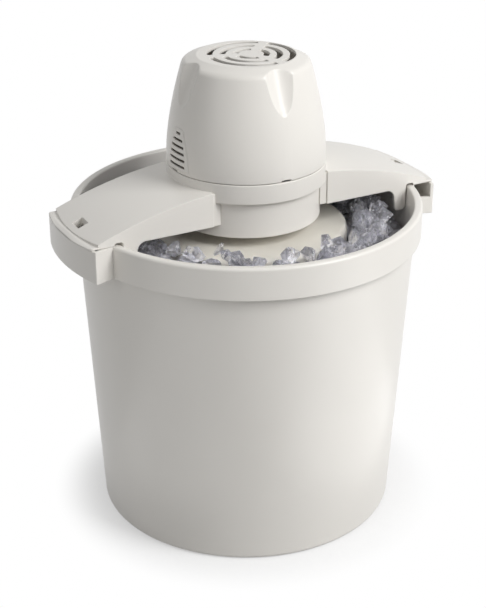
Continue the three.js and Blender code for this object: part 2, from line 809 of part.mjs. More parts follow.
function gearPlate() {
  const plate = rod(ringRadius - housingWall - gap, plateBottom, plateTop, outputCentre, roundSegments);
  const posts = motorScrewCentres.map((centre) => rod(pinCollar + pinRadius, plateTop - past,
    plateTop + standoff, centre));
  const pins = [firstCentre, secondCentre]
    .map((centre) => rod(pinRadius + gap, plateBottom - past, plateTop + past, centre));
  const shaftHole = rod(pinionShaft + 2, plateBottom - past, plateTop + past, motorCentre);
  const screwHoles = motorScrewCentres.map((centre) => rod(motorScrewRadius + gap, plateBottom - past,
    plateTop + standoff + past, centre));
  const holes = around(housingScrews, (angle) => housingScrewSolid(gap).rotate([0, 0, angle]), screwStart);
  return cut(joined(plate, posts), pins, shaftHole, screwHoles, holes);
}

function stemSocket() {
  const top = plateBottom - gap;
  const flangeBottom = top - socketFlangeThickness;
  const body = joined(
    rod(socketRadius, middleBottom + gap, top, outputCentre, middleSegments),
    rod(socketFlange, flangeBottom, top, outputCentre, middleSegments),
  );
  const half = stemSquare / 2 + gap;
  return cut(body, block(-half, half, -half, half, middleBottom, flangeBottom + gap));
}

// Motor

const pinionShaft = 1.5;
const lowerBracketBottom = plateTop + standoff + gap;
const coreBottom = lowerBracketBottom + bracketThickness + gap;
const coreTop = coreBottom + coreHeight;
const upperBracketBottom = coreTop + gap;
const screwHeadBottom = upperBracketBottom + bracketThickness + gap;
const motorScrewCentres = [-1, 1].map((side) => new THREE.Vector2(
  motorCentre.x - side * screwSpread * Math.sin(degrees(shaftAngle)),
  motorCentre.y + side * screwSpread * Math.cos(degrees(shaftAngle)),
));

// The motor is drawn with its coil towards -X and then turned to the side away from its shaft's offset
function placeMotor(piece) {
  return piece.rotate([0, 0, shaftAngle]).translate([motorCentre.x, motorCentre.y, 0]);
}

function motorScrewHoles(bottom, top) {
  return [-screwSpread, screwSpread]
    .map((y) => rod(motorScrewRadius + gap, bottom - past, top + past, new THREE.Vector2(0, y)));
}

function fieldCore() {
  const farX = -(coreBridge + coilWindow + coreLeg);
  const frame = block(farX, poleLength, -coreHalfWidth, coreHalfWidth, coreBottom, coreTop);
  const bore = rod(rotorRadius + gap, coreBottom - past, coreTop + past, outputCentre, middleSegments);
  const window = block(-(coreBridge + coilWindow), -coreBridge, -coilWindowHalf, coilWindowHalf,
    coreBottom - past, coreTop + past);
  return placeMotor(cut(frame, bore, window, motorScrewHoles(coreBottom, coreTop)));
}

function coilRing(outerExtra, innerExtra, fromY, toY) {
  const legInner = -(coreBridge + coilWindow);
  const legOuter = legInner - coreLeg;
  const outer = block(legOuter - outerExtra, legInner + outerExtra, fromY, toY, coreBottom - outerExtra,
    coreTop + outerExtra);
  const inner = block(legOuter - innerExtra, legInner + innerExtra, fromY - past, toY + past,
    coreBottom - innerExtra, coreTop + innerExtra);
  return cut(outer, inner);
}

function coilBobbin() {
  const half = coilWindowHalf - gap;
  const tube = coilRing(gap + bobbinWall, gap, -half, half);
  const cheeks = [-half, half - bobbinWall]
    .map((y) => coilRing(gap + bobbinWall + coilBuild, gap, y, y + bobbinWall));
  return placeMotor(joined(tube, cheeks));
}

function fieldCoil() {
  const half = coilWindowHalf - 2 * gap - bobbinWall;
  return placeMotor(coilRing(gap + bobbinWall + coilBuild - 1, 2 * gap + bobbinWall, -half, half));
}

function bearingBracket(bottom, side) {
  const strap = block(-bearingHub - 3, bearingHub + 3, -coreHalfWidth, coreHalfWidth, bottom,
    bottom + bracketThickness);
  const hubFrom = side > 0 ? bottom : bottom + bracketThickness - bearingHeight - 1;
  const hub = rod(bearingHub, hubFrom, hubFrom + bearingHeight + 1);
  const seat = rod(bearingRadius + gap, hubFrom - past, hubFrom + bearingHeight + 1 + past);
  return placeMotor(cut(joined(strap, hub), seat, motorScrewHoles(bottom, bottom + bracketThickness)));
}

function bearing(bottom, side) {
  const from = side > 0 ? bottom + 0.5 : bottom + bracketThickness - bearingHeight - 0.5;
  return ring(bearingRadius, shaftRadius + gap / 2, from, from + bearingHeight, motorCentre);
}

function motorRotor() {
  const middle = (coreBottom + coreTop) / 2;
  return ring(rotorRadius, shaftRadius + gap, middle - rotorHeight / 2, middle + rotorHeight / 2,
    motorCentre, middleSegments);
}

const fanTop = coverCeiling - fanRoom;

function motorShaft() {
  return joined(
    rod(pinionShaft, motorGearBottom, plateTop + gap, motorCentre),
    rod(shaftRadius, plateTop, fanTop + gap, motorCentre),
  );
}

function coolingFan() {
  const bottom = fanTop - fanHeight;
  const disc = rod(fanRadius, bottom, bottom + fanPlate, outputCentre, middleSegments);
  const hub = rod(fanHub, bottom, fanTop, outputCentre);
  const blades = around(fanBlades, (angle) => block(fanHub - past, fanRadius - past, -fanBlade / 2,
    fanBlade / 2, bottom + fanPlate / 2, fanTop)
    .rotate([0, 0, angle]));
  const bore = rod(shaftRadius + gap, bottom - past, fanTop + past);
  return cut(joined(disc, hub, blades), bore).translate([motorCentre.x, motorCentre.y, 0]);
}

function motorScrew(centre) {
  return joined(
    rod(motorScrewRadius, plateBottom + gap, screwHeadBottom + gap, centre),
    rod(headRadius, screwHeadBottom, screwHeadBottom + headHeight, centre),
  );
}

// The screw as it stands on the X axis, thicker by the given clearance
function housingScrewSolid(clearance) {
  const centre = new THREE.Vector2(screwCircle, 0);
  const headBottom = drumBottom + gap - clearance;
  return joined(
    rod(headRadius + clearance, headBottom - (clearance ? past : 0),
      headBottom + bracketThickness / 2 + 2 * clearance, centre),
    rod(motorScrewRadius + clearance, headBottom, drumBottom + screwLength + clearance, centre),
  );
}

// Finishes
const cream = { color: 0xe9e6dd, roughness: 0.38, metalness: 0 };
const finishes = {
  housing: new THREE.MeshStandardMaterial(cream),
  lid: new THREE.MeshStandardMaterial({ ...cream, color: 0xe6e2d6 }),
  can: new THREE.MeshStandardMaterial({ color: 0xb9bcc0, roughness: 0.3, metalness: 0.9 }),
  paddle: new THREE.MeshStandardMaterial({ color: 0xf0efea, roughness: 0.45, metalness: 0 }),
  acetal: new THREE.MeshStandardMaterial({ color: 0xd8d6cc, roughness: 0.5, metalness: 0 }),
  steel: new THREE.MeshStandardMaterial({ color: 0x8d9094, roughness: 0.35, metalness: 1 }),
  iron: new THREE.MeshStandardMaterial({ color: 0x55585c, roughness: 0.55, metalness: 0.8 }),
  copper: new THREE.MeshStandardMaterial({ color: 0xa4552a, roughness: 0.4, metalness: 0.9 }),
  bronze: new THREE.MeshStandardMaterial({ color: 0x9a7440, roughness: 0.5, metalness: 0.8 }),
  bobbin: new THREE.MeshStandardMaterial({ color: 0xe8e4da, roughness: 0.6, metalness: 0 }),
  rubber: new THREE.MeshStandardMaterial({ color: 0x2b2b2b, roughness: 0.8, metalness: 0 }),
};

const freezer = new THREE.Group();

function add(name, body, finish) {
  const { vertProperties, triVerts } = body.getMesh();
  const geometry = new THREE.BufferGeometry();
  geometry.setAttribute('position', new THREE.BufferAttribute(new Float32Array(vertProperties), 3));
  geometry.setIndex(new THREE.BufferAttribute(new Uint32Array(triVerts), 1));
  const mesh = new THREE.Mesh(geometry, finishes[finish]);
  mesh.name = name;
  freezer.add(mesh);
}

add('ice_bucket', iceBucket(), 'housing');
add('pivot_cap', pivotCap(), 'acetal');
add('canister', canister(), 'can');
add('canister_lid', canisterLid(), 'lid');
add('dasher', dasher(), 'paddle');
add('bridge_housing', bridgeHousing(), 'housing');
add('gearcase_cover', gearcaseCover(), 'housing');
add('motor_cover', motorCover(), 'housing');
add('cord_grommet', cordGrommet(), 'rubber');
add('output_bush', outputBush(), 'bronze');
add('output_gear', outputGear(), 'acetal');
add('second_gear', secondGear(), 'acetal');
add('second_gear_shaft', gearShaft(secondCentre, outputBottom), 'steel');
add('first_gear', firstGear(), 'acetal');
add('first_gear_shaft', gearShaft(firstCentre, middleBottom), 'steel');
add('gear_plate', gearPlate(), 'steel');
add('stem_socket', stemSocket(), 'acetal');
add('motor_pinion', motorPinion(), 'steel');
add('motor_shaft', motorShaft(), 'steel');
add('motor_rotor', motorRotor(), 'iron');
add('field_core', fieldCore(), 'iron');
add('coil_bobbin', coilBobbin(), 'bobbin');
add('field_coil', fieldCoil(), 'copper');
add('lower_bearing_bracket', bearingBracket(lowerBracketBottom, -1), 'steel');
add('lower_bearing', bearing(lowerBracketBottom, -1), 'bronze');
add('upper_bearing_bracket', bearingBracket(upperBracketBottom, 1), 'steel');
add('upper_bearing', bearing(upperBracketBottom, 1), 'bronze');
add('cooling_fan', coolingFan(), 'paddle');
motorScrewCentres.forEach((centre, i) => add(`motor_screw_${i + 1}`, motorScrew(centre), 'steel'));
around(housingScrews, (angle, i) => add(`housing_screw_${i + 1}`, housingScrewSolid(0)
  .rotate([0, 0, angle]), 'steel'), screwStart);

export default freezer;
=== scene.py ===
import json
import math
import random

import bmesh
import bpy
from mathutils import Matrix, Vector, noise


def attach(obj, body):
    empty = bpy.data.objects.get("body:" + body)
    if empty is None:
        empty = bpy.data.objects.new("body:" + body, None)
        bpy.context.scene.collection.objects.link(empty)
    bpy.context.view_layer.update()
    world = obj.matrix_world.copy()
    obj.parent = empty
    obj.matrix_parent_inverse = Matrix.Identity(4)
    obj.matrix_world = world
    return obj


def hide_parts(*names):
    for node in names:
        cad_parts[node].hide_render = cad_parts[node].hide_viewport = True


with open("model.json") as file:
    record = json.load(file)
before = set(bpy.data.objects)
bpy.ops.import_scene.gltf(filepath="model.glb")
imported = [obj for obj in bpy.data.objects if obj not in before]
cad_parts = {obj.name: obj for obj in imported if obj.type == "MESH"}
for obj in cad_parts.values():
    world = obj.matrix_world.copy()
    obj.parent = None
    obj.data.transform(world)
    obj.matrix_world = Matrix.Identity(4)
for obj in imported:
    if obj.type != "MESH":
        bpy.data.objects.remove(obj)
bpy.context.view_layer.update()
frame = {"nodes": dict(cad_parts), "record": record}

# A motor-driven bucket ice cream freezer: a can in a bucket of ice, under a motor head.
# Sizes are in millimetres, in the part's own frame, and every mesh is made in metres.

scene = bpy.context.scene
MM = 0.001
ROUND = 192                    # steps round the large turned pieces
CORNER = 6                     # steps in a rounded corner
LOOSE = 0.02                   # by which a cut goes past a wall, so that no skin is left
SIDES = (0, 180)               # the turns of what is made twice, towards +X and -X

# Ice bucket
BASE_RADIUS = 127.0
MOUTH_RADIUS = 139.2
BUCKET_WALL = 2.7
RIM_TOP = 273.4
COLLAR_RADIUS = 146.0
COLLAR_INNER = 143.6
COLLAR_BOTTOM = 246.6
COLLAR_ROOF = 268.0
BUCKET_FLOOR = 4.5
STANDING_RING = 15.0           # width of the ring that the bucket stands on
BASE_RECESS = 1.5
PIVOT_RADIUS = 5.5
PIVOT_TOP = 13.0
BRACKET_RADIUS = 163.5
BRACKET_HALF_ANGLE = 17.0
BRACKET_WALL = 3.0
BRACKET_END = 1.05             # degrees of wall at each end of a bracket
BRACKET_CORNER = 1.1
NOTCH_BOTTOM = 261.4
NOTCH_ANGLES = (-19.0, -13.0)
KEEPER_LOW = (144.8, 8.95, 265.8)
KEEPER_HIGH = (162, 20.95, 268.3)

# Can and lid
CAN_BOTTOM = 12.0
CAN_TOP = 250.2
CAN_FLOOR_RADIUS = 77.0
CAN_RIM_RADIUS = 79.0
CAN_BEAD_RADIUS = 81.8
CAN_SHEET = 1.0
CAN_NECK = 245.6
CAN_BEAD = (246.8, 249.6)
DIMPLE_TOP = 18                # of the dimple that stands on the bucket's pivot
DIMPLE_RADIUS = 6.7
DIMPLE_DRAFT = 1.0
LID_RADIUS = 84.6
LID_TOP = 253.0
LID_UNDER = 250.5
LID_SKIRT = 234.5
LID_HOLE = 8.3
SEALING_RIB = (75.2, 77.7)
SEALING_RIB_BOTTOM = 244.5
ARCH_WIDTH = 16.0
ARCH_HEIGHT = 14.0
ARCH_CORNER = 5
ARCH_DEPTH = 6
ARCH_ANGLE = 36.5              # degrees, of the first arch in the lid's skirt
DOG = (11.4, 16.4)
DOG_HEIGHTS = (252, 259.6)
DOG_HALF_ANGLE = 20

# Ice
ICE_FLOOR = 150
BED_INNER = 86
BED_TOP = 236
BED_ROUGH = (88, 134)          # the radii between which the bed's top is lumpy
BED_ROUGHNESS = 7
LUMP_CORNERS = (9, 14)
LUMP_FLATNESS = 0.62           # least share of a lump's radius along an axis
LUMP_UNEVENNESS = 0.86         # least share of it at a corner
LUMP_CLEARANCE = 0.8           # between a lump and the bucket
LID_CLEARANCE = 1.2            # between a lump and the lid
WING_ANGLES = (24, 52)         # degrees on each side of the wings that the head sweeps over
FOOT_SWEEP = 125               # the radius from which the feet sweep
FOOT_SWEEP_BOTTOM = 251
TOP_BY_WING = 269.5
TOP_ELSEWHERE = 275
ICE_LAYERS = (
    # lumps, lowest and highest middle, least and greatest radius, share of the way from lid to bucket
    (64, 238, 243, 9, 12, 0.1, 0.4),
    (72, 238, 244, 9, 12, 0.6, 0.9),
    (60, 247, 251, 8, 12, 0.15, 0.5),
    (66, 247, 253, 8, 12, 0.5, 0.95),
    (52, 254, 260, 9, 13, 0.1, 0.95),
    (46, 258, 263, 9, 13, 0.05, 0.9),
    (54, 262, 266, 7.5, 11.5, 0.05, 0.8),
)

# Head housing
DRUM_RADIUS = 61.4
DRUM_BOTTOM = 262.1
HOUSING_WALL = 2.5
RING_RADIUS = 65.7
RING_BOTTOM = 292.0
RING_TOP = 308.4
SHELF_TOP = 294.5
WING_HALF = 43.0
WING_START = 40.0
WING_ROOT = 52.5
WING_REACH = 168.0             # past the tip, which the plan cuts to length
WING_ARC = 360.0
WING_ARC_CENTRE = -56.4
WING_ARC_START = 20.0
WING_CROWN = 1.2               # how much the wing's long edges lie below its middle line
CROWN_FROM = 274.5
WING_SKIN = 2.5
SIDE_BOTTOM = 272.7
HOLLOW_REACH = 137
FOOT_START = 119.3
FOOT_DRAFT = 1.6
FOOT_RADIUS = 137.7
FOOT_BOTTOM = 253.5
FOOT_CHAMFER = (2.3, 2.2)      # in and up, at the foot's outer edge
TIP_UNDER = 273.7
TIP_RADIUS = 164.0
TIP_CORNER = 3.0
RIM_ROOM = (144.6, 275.8)      # radius and height of the channel that straddles the bucket's rim
LIP_RADIUS = 157.8
LIP_TOP = 275.4
LIP_FALL = 0.3
WINDOW = (144.2, 152.8, 6.5)   # inner edge, outer edge, half width
TONGUE = (147, 152.5)
TONGUE_HEIGHTS = (263, 275)
TONGUE_HALF = 1.25
TONGUE_PLACE = -8
BARB_TOP = 265.5
BARB_END = 6.75
LINK = (46, 54)                # where a wing's side walls run on to the ring
LINK_HEIGHTS = (272.9, 300)
LINK_INNER = 38
SCREW_CIRCLE = 53.4
SCREW_ANGLES = (45, 135, 225, 315)
SCREW_HOLE = 2.3
BOSS_RADIUS = 4.8
BOSS_CLEARANCE = 0.3           # between the housing's bosses and the gearcase cover
WEB_BITE = 0.6                 # how far a web runs into the wall behind it
GEARCASE_FLOOR = 265.4
BELOW = 240                    # these three lie past the head, for what is cut right through
ABOVE = 320
BEYOND = 180

# Motor cover
COVER_BOTTOM = 309.0
COVER_TOP = 395.8
COVER_RADIUS = 65.4
COVER_BULGE = (66.2, 340)      # the point that the side is drawn out towards
COVER_WALL = 2.5
SHOULDER_RADIUS = 52.4
SHOULDER_HEIGHT = 388.2
SHOULDER_LEAN = 0.28           # how far the side leans in for each step up, at its top
SHOULDER_END = 0.3             # share of the slope that the shoulder takes
CORNER_RISE = 3.4
TOP_FLAT = 39.6
CEILING_CORNER = 1.2
WALL_SPLIT = 1.2               # the depth that tells the wall's inner face from its outer
FLUTE_BOTTOM = 361.3
FLUTE_RISE = 27.7
FLUTE_OVERRUN = 1.3            # share of the rise at which a flute stops growing
FLUTE_HALF_ANGLE = 13.6
FLUTE_LEAST_ANGLE = 2.5
FLUTE_SPREAD = 15.0            # degrees of mesh on each side that are drawn into a flute
FLUTE_FLARE = 0.4              # the power of the rise by which a flute widens
FLUTE_TURN = 1.7
FLUTE_DEPTH = 6.0
GRILLE_CENTRE = (3.53, -1.88)
SLOT_RINGS = ((10, 15), (20.4, 25.4), (30.8, 35.8))
SLOT_CORNER = 1.9
SLOT_RIM = 0.9
SPOKE_ANGLES = (45, 165, 285)
SPOKE_WIDTH = 7.5
VENT_WIDTHS = (22.8, 22.6, 20.4, 18.4, 14.4, 6.6)
VENT_BOTTOM = 313.9
VENT_PITCH = 5.18
VENT_HEIGHT = 2.1
VENT_TURN = 3.4                # degrees that the vents sit off the wing's line
VENT_PLACE = 62
PANEL_RELIEF = 0.45
PANEL_SKIN = 1.0
PANEL_BACK = 5.0               # depth behind the panel that is cut away
PANEL_HEIGHTS = (310.5, 347)
PANEL_HALF_ANGLE = 18
PANEL_EDGE = ((16.6, 311.4, 1), (15.2, 320, 12), (13.0, 329, 12), (9.4, 337.4, 8), (6.2, 344.8, 3.5))
BOSS_BOTTOM = 298.1
BOSS_TOP = 329.1
UPPER_WEB_REACH = 64.0
UPPER_WEB_BOTTOM = 309.4
WEB_CLEARANCE = 0.5            # between the cover's lower webs and the housing's ring
BORE_TOP = 324.4
CORD_HOLE = 4.6
CORD_HEIGHT = 323.0
CORD_PLACE = 64

# Camera and lights, with lengths in metres and angles in degrees
PHOTO_AZIMUTH = -28.6
PHOTO_ELEVATION = 25.54
PHOTO_DISTANCE = 1.2325
PHOTO_CENTRE = (0, 0, 0.17515)
LIGHT_CENTRE = (0, 0, 0.18)
REFLECTOR_DISTANCE = 0.68
REFLECTOR_HEIGHT = 0.004
SOFT_LIGHT = 0.345
SHADOW_EDGE = (0.126, 0.175)   # the radii between which the shadow on the floor fades
SHADOW_SHARE = 0.55
WHITE = (1, 1, 1, 1)


# Camera

def direction(azimuth, elevation):
    """The way out from the object, where azimuth 0 is the front."""
    a, e = math.radians(azimuth), math.radians(elevation)
    return Vector((math.sin(a) * math.cos(e), -math.cos(a) * math.cos(e), math.sin(e)))


def aimed(thing, centre, way, distance):
    """Stands a camera or lamp off from a centre and points it back at it."""
    thing.location = Vector(centre) + way * distance
    thing.rotation_mode = "QUATERNION"
    thing.rotation_quaternion = (-way).to_track_quat("-Z", "Y")
    scene.collection.objects.link(thing)


def place_camera():
    data = bpy.data.cameras.new("camera")
    data.lens = 84.73
    data.sensor_width = 36
    data.shift_x = -0.0052
    data.clip_end = 50
    camera = bpy.data.objects.new("camera", data)
    aimed(camera, PHOTO_CENTRE, direction(PHOTO_AZIMUTH, PHOTO_ELEVATION), PHOTO_DISTANCE)
    scene.camera = camera


# Shader nodes

class Value:
    """A number that varies over a surface, in expressions that add their own nodes."""

    def __init__(self, nodes, socket):
        self.nodes = nodes
        self.socket = socket

    def maths(self, operation, first, second):
        node = self.nodes.node("Math", {"operation": operation}, {0: first, 1: second})
        return Value(self.nodes, node.outputs[0])

    def __add__(self, other):
        return self.maths("ADD", self, other)

    def __radd__(self, other):
        return self.maths("ADD", other, self)

    def __sub__(self, other):
        return self.maths("SUBTRACT", self, other)

    def __rsub__(self, other):
        return self.maths("SUBTRACT", other, self)

    def __rmul__(self, other):
        return self.maths("MULTIPLY", other, self)

    def or_more(self, other):
        return self.maths("MAXIMUM", self, other)

    def between(self, low, high):
        """0 at low and below, 1 at high and above, smooth in between."""
        inputs = {"Value": self, "From Min": low, "From Max": high}
        node = self.nodes.node("MapRange", {"interpolation_type": "SMOOTHSTEP"}, inputs)
        return Value(self.nodes, node.outputs["Result"])


class Nodes:
    """The nodes of a material or a world, with one way to add to them."""

    def __init__(self, owner):
        owner.use_nodes = True
        self.tree = owner.node_tree
        self.tree.nodes.clear()

    def node(self, kind, settings=None, inputs=None):
        node = self.tree.nodes.new("ShaderNode" + kind)
        for name, value in (settings or {}).items():
            setattr(node, name, value)
        for name, value in (inputs or {}).items():
            if isinstance(value, Value):
                value = value.socket
            if isinstance(value, bpy.types.NodeSocket):
                self.tree.links.new(value, node.inputs[name])
            else:
                node.inputs[name].default_value = value
        return node

    def seen(self):
        """1 for a ray that the picture shows, also in gloss and through ice, and 0 for one that lights."""
        ray = self.node("LightPath")
        camera, glossy, through = (
            Value(self, ray.outputs[kind])
            for kind in ("Is Camera Ray", "Is Glossy Ray", "Is Transmission Ray")
        )
        return camera.or_more(glossy).or_more(through)

    def mixed(self, share, first, second):
        """Two shaders, with the second's share."""
        inputs = {0: share, 1: first.outputs[0], 2: second.outputs[0]}
        return self.node("MixShader", None, inputs)


class Finish(Nodes):
    """A material in the making. Lengths in it are metres."""

    def __init__(self, name):
        self.material = bpy.data.materials.new(name)
        super().__init__(self.material)
        self.place = self.node("TexCoord").outputs["Object"]

    def noise(self, scale, detail=2.0, stretch=None):
        place = self.place
        if stretch:
            place = self.node("Mapping", None, {"Vector": place, "Scale": stretch}).outputs[0]
        inputs = {"Vector": place, "Scale": scale, "Detail": detail}
        return Value(self, self.node("TexNoise", None, inputs).outputs[0])

    def radius(self):
        flat = self.node("VectorMath", {"operation": "MULTIPLY"}, {0: self.place, 1: (1, 1, 0)})
        length = self.node("VectorMath", {"operation": "LENGTH"}, {0: flat.outputs[0]})
        return Value(self, length.outputs["Value"])

    def blend(self, amount, first, second):
        """Two colours mixed. The Mix node's sockets 6 and 7 and its output 2 are those for colours."""
        mix = self.node("Mix", {"data_type": "RGBA"}, {0: amount, 6: first, 7: second})
        return mix.outputs[2]

    def bump(self, height, distance, normal=None):
        inputs = {"Height": height, "Distance": distance, "Strength": 1.0}
        if normal:
            inputs["Normal"] = normal
        return self.node("Bump", None, inputs).outputs[0]

    def softened(self, radius):
        """The normal with its edges eased, as a moulded edge is."""
        return self.node("Bevel", {"samples": 6}, {"Radius": radius}).outputs[0]

    def shade(self, **inputs):
        named = {name.replace("_", " "): value for name, value in inputs.items()}
        return self.node("BsdfPrincipled", None, named)

    def done(self, shader):
        self.node("OutputMaterial", None, {"Surface": shader.outputs[0]})
        return self.material


def tone(colour, share):
    red, green, blue = colour
    return (red * share, green * share, blue * share, 1.0)


# Finishes

def moulded_plastic(name, colour, roughness, edge=0.0009):
    finish = Finish(name)
    cloud = finish.noise(scale=7.0, detail=3.0)
    grain = finish.noise(scale=1500.0)
    flow = finish.noise(scale=60.0, stretch=(1, 1, 0.35))
    return finish.done(finish.shade(
        Base_Color=finish.blend(cloud.between(0.35, 0.65), tone(colour, 0.985), tone(colour, 1.01)),
        Roughness=roughness + 0.06 * (flow - 0.5),
        Normal=finish.bump(grain + 2.0 * flow, distance=0.00003, normal=finish.softened(edge)),
    ))


def metal(name, colour, roughness, streak=(1, 1, 1)):
    finish = Finish(name)
    wear = finish.noise(scale=90.0, detail=4.0)
    lines = finish.noise(scale=900.0, stretch=streak)
    return finish.done(finish.shade(
        Base_Color=finish.blend(wear.between(0.3, 0.7), tone(colour, 0.9), tone(colour, 1.05)),
        Metallic=1.0,
        Roughness=roughness + 0.12 * (lines - 0.5) + 0.05 * wear,
        Normal=finish.bump(lines, distance=0.00002, normal=finish.softened(0.0003)),
    ))


def laminated_iron():
    finish = Finish("laminated_iron")
    spots = finish.noise(scale=300.0, detail=3.0)
    return finish.done(finish.shade(
        Base_Color=(0.16, 0.165, 0.18, 1),
        Metallic=0.8,
        Roughness=0.45 + 0.2 * (spots - 0.5),
    ))


def copper_wire():
    finish = Finish("copper_wire")
    varnish = finish.noise(scale=120.0)
    return finish.done(finish.shade(
        Base_Color=finish.blend(varnish.between(0.3, 0.7), (0.42, 0.15, 0.06, 1), (0.62, 0.26, 0.11, 1)),
        Metallic=0.9,
        Roughness=0.3 + 0.1 * varnish,
        Coat_Weight=0.3,
    ))


def sintered_bronze():
    finish = Finish("sintered_bronze")
    pores = finish.noise(scale=2500.0)
    cloud = finish.noise(scale=150.0)
    return finish.done(finish.shade(
        Base_Color=finish.blend(cloud.between(0.3, 0.7), (0.34, 0.22, 0.1, 1), (0.46, 0.31, 0.15, 1)),
        Metallic=0.9,
        Roughness=0.5 + 0.2 * (pores - 0.5),
        Normal=finish.bump(pores.between(0.3, 0.6), distance=0.0001),
    ))


def moulded_rubber():
    finish = Finish("moulded_rubber")
    grain = finish.noise(scale=1800.0)
    bloom = finish.noise(scale=80.0, detail=3.0)
    black, grey = (0.018, 0.018, 0.018, 1), (0.035, 0.035, 0.034, 1)
    return finish.done(finish.shade(
        Base_Color=finish.blend(bloom.between(0.4, 0.7), black, grey),
        Roughness=0.62 + 0.1 * (grain - 0.5),
        Normal=finish.bump(grain, distance=0.00006, normal=finish.softened(0.0004)),
    ))


def clear_ice():
    """Clear in some places and white in others."""
    finish = Finish("clear_ice")
    waves = finish.noise(scale=160.0, detail=3.0)
    cloud = finish.noise(scale=70.0, detail=4.0)
    surface = finish.bump(waves, distance=0.0012)
    clear = finish.shade(
        Base_Color=finish.blend(cloud, (0.93, 0.93, 0.99, 1), (0.99, 0.99, 1.0, 1)),
        Roughness=0.03 + 0.12 * waves,
        IOR=1.31,
        Transmission_Weight=1.0,
        Normal=surface,
    )
    white = finish.shade(Base_Color=(0.84, 0.84, 0.9, 1), Roughness=0.35 + 0.2 * waves, Normal=surface)
    return finish.done(finish.mixed(0.08 + 0.3 * cloud.between(0.52, 0.75), clear, white))


def packed_ice():
    finish = Finish("frosted_ice")
    cloud = finish.noise(scale=110.0, detail=4.0)
    return finish.done(finish.shade(
        Base_Color=finish.blend(cloud.between(0.35, 0.65), (0.36, 0.35, 0.38, 1), (0.84, 0.84, 0.9, 1)),
        Roughness=0.25 + 0.2 * cloud,
        Normal=finish.bump(cloud, distance=0.002),
    ))


def floor_paper():
    """White where nothing is near, and paper with the object's shadow under and about it."""
    finish = Finish("studio_floor")
    paper = finish.node("BsdfDiffuse", None, {"Color": (0.86, 0.86, 0.86, 1)})
    white = finish.node("Emission", None, {"Color": WHITE, "Strength": 1.0})
    grey = finish.node("BsdfDiffuse", None, {"Color": (0.45, 0.45, 0.45, 1)})
    near = SHADOW_SHARE - SHADOW_SHARE * finish.radius().between(*SHADOW_EDGE)
    shown = finish.mixed(near, white, paper)
    return finish.done(finish.mixed(finish.seen(), grey, shown))


# Shapes

def outline(*corners):
    """Corners as (x, y) or (x, y, radius), where a radius rounds the corner with a short arc."""
    points = []
    count = len(corners)
    for i, corner in enumerate(corners):
        here = Vector(corner[:2])
        radius = corner[2] if len(corner) > 2 else 0
        if not radius:
            points.append(here)
            continue
        back = (Vector(corners[i - 1][:2]) - here).normalized()
        ahead = (Vector(corners[(i + 1) % count][:2]) - here).normalized()
        half = back.angle(ahead) / 2
        reach = radius / math.tan(half)
        centre = here + (back + ahead).normalized() * radius / math.sin(half)
        first, last = here + back * reach - centre, here + ahead * reach - centre
        turn = first.angle_signed(last)
        for step in range(CORNER + 1):
            angle = -turn * step / CORNER
            spoke = Vector((
                first.x * math.cos(angle) - first.y * math.sin(angle),
                first.x * math.sin(angle) + first.y * math.cos(angle),
            ))
            points.append(centre + spoke)
    return [(p.x, p.y) for p in points]


def box(low_x, high_x, low_y, high_y):
    return [(low_x, low_y), (high_x, low_y), (high_x, high_y), (low_x, high_y)]


def merged(mesh, gap, sliver):
    bmesh.ops.remove_doubles(mesh, verts=mesh.verts, dist=gap)
    bmesh.ops.dissolve_degenerate(mesh, edges=mesh.edges, dist=sliver)
    return mesh


def facing_out(mesh):
    merged(mesh, 1e-7, 1e-7)
    bmesh.ops.recalc_face_normals(mesh, faces=mesh.faces)
    return mesh


def moved(mesh, x=0, y=0, z=0):
    bmesh.ops.translate(mesh, verts=mesh.verts, vec=(x * MM, y * MM, z * MM))
    return mesh


def spun(mesh, angle):
    """The same solid turned about the upright axis, by an angle in degrees."""
    turn = Matrix.Rotation(math.radians(angle), 3, "Z")
    bmesh.ops.rotate(mesh, verts=mesh.verts, cent=(0, 0, 0), matrix=turn)
    return mesh


def turned(profile, steps=ROUND, centre=(0, 0)):
    """A solid turned about an upright axis from (radius, height) points."""
    mesh = bmesh.new()
    points = [mesh.verts.new((r * MM, 0, z * MM)) for r, z in profile]
    closed = profile[0][0] > 0 or profile[-1][0] > 0
    pairs = list(zip(points, points[1:])) + ([(points[-1], points[0])] if closed else [])
    edges = [mesh.edges.new(pair) for pair in pairs]
    bmesh.ops.spin(
        mesh, geom=points + edges, cent=(0, 0, 0), axis=(0, 0, 1), dvec=(0, 0, 0),
        angle=2 * math.pi, steps=steps, use_merge=True,
    )
    return facing_out(moved(mesh, *centre))


def sector(profile, start, end, steps=14):
    """Part of a turned solid, from one angle to another."""
    mesh = bmesh.new()
    face = mesh.faces.new([mesh.verts.new((r * MM, 0, z * MM)) for r, z in profile])
    spun(mesh, start)
    bmesh.ops.spin(
        mesh, geom=[face] + face.edges[:] + face.verts[:], cent=(0, 0, 0), axis=(0, 0, 1),
        dvec=(0, 0, 0), angle=math.radians(end - start), steps=steps, use_duplicate=False,
    )
    return facing_out(mesh)


def drawn_out(mesh, face, way):
    """Extrudes a face and gives the new one."""
    made = bmesh.ops.extrude_face_region(mesh, geom=[face])["geom"]
    verts = [v for v in made if isinstance(v, bmesh.types.BMVert)]
    bmesh.ops.translate(mesh, verts=verts, vec=way)
    return next(f for f in made if isinstance(f, bmesh.types.BMFace))


def upright(points, bottom, top):
    """An (x, y) outline raised from one height to another."""
    mesh = bmesh.new()
    face = mesh.faces.new([mesh.verts.new((x * MM, y * MM, bottom * MM)) for x, y in points])
    drawn_out(mesh, face, (0, 0, (top - bottom) * MM))
    return facing_out(mesh)


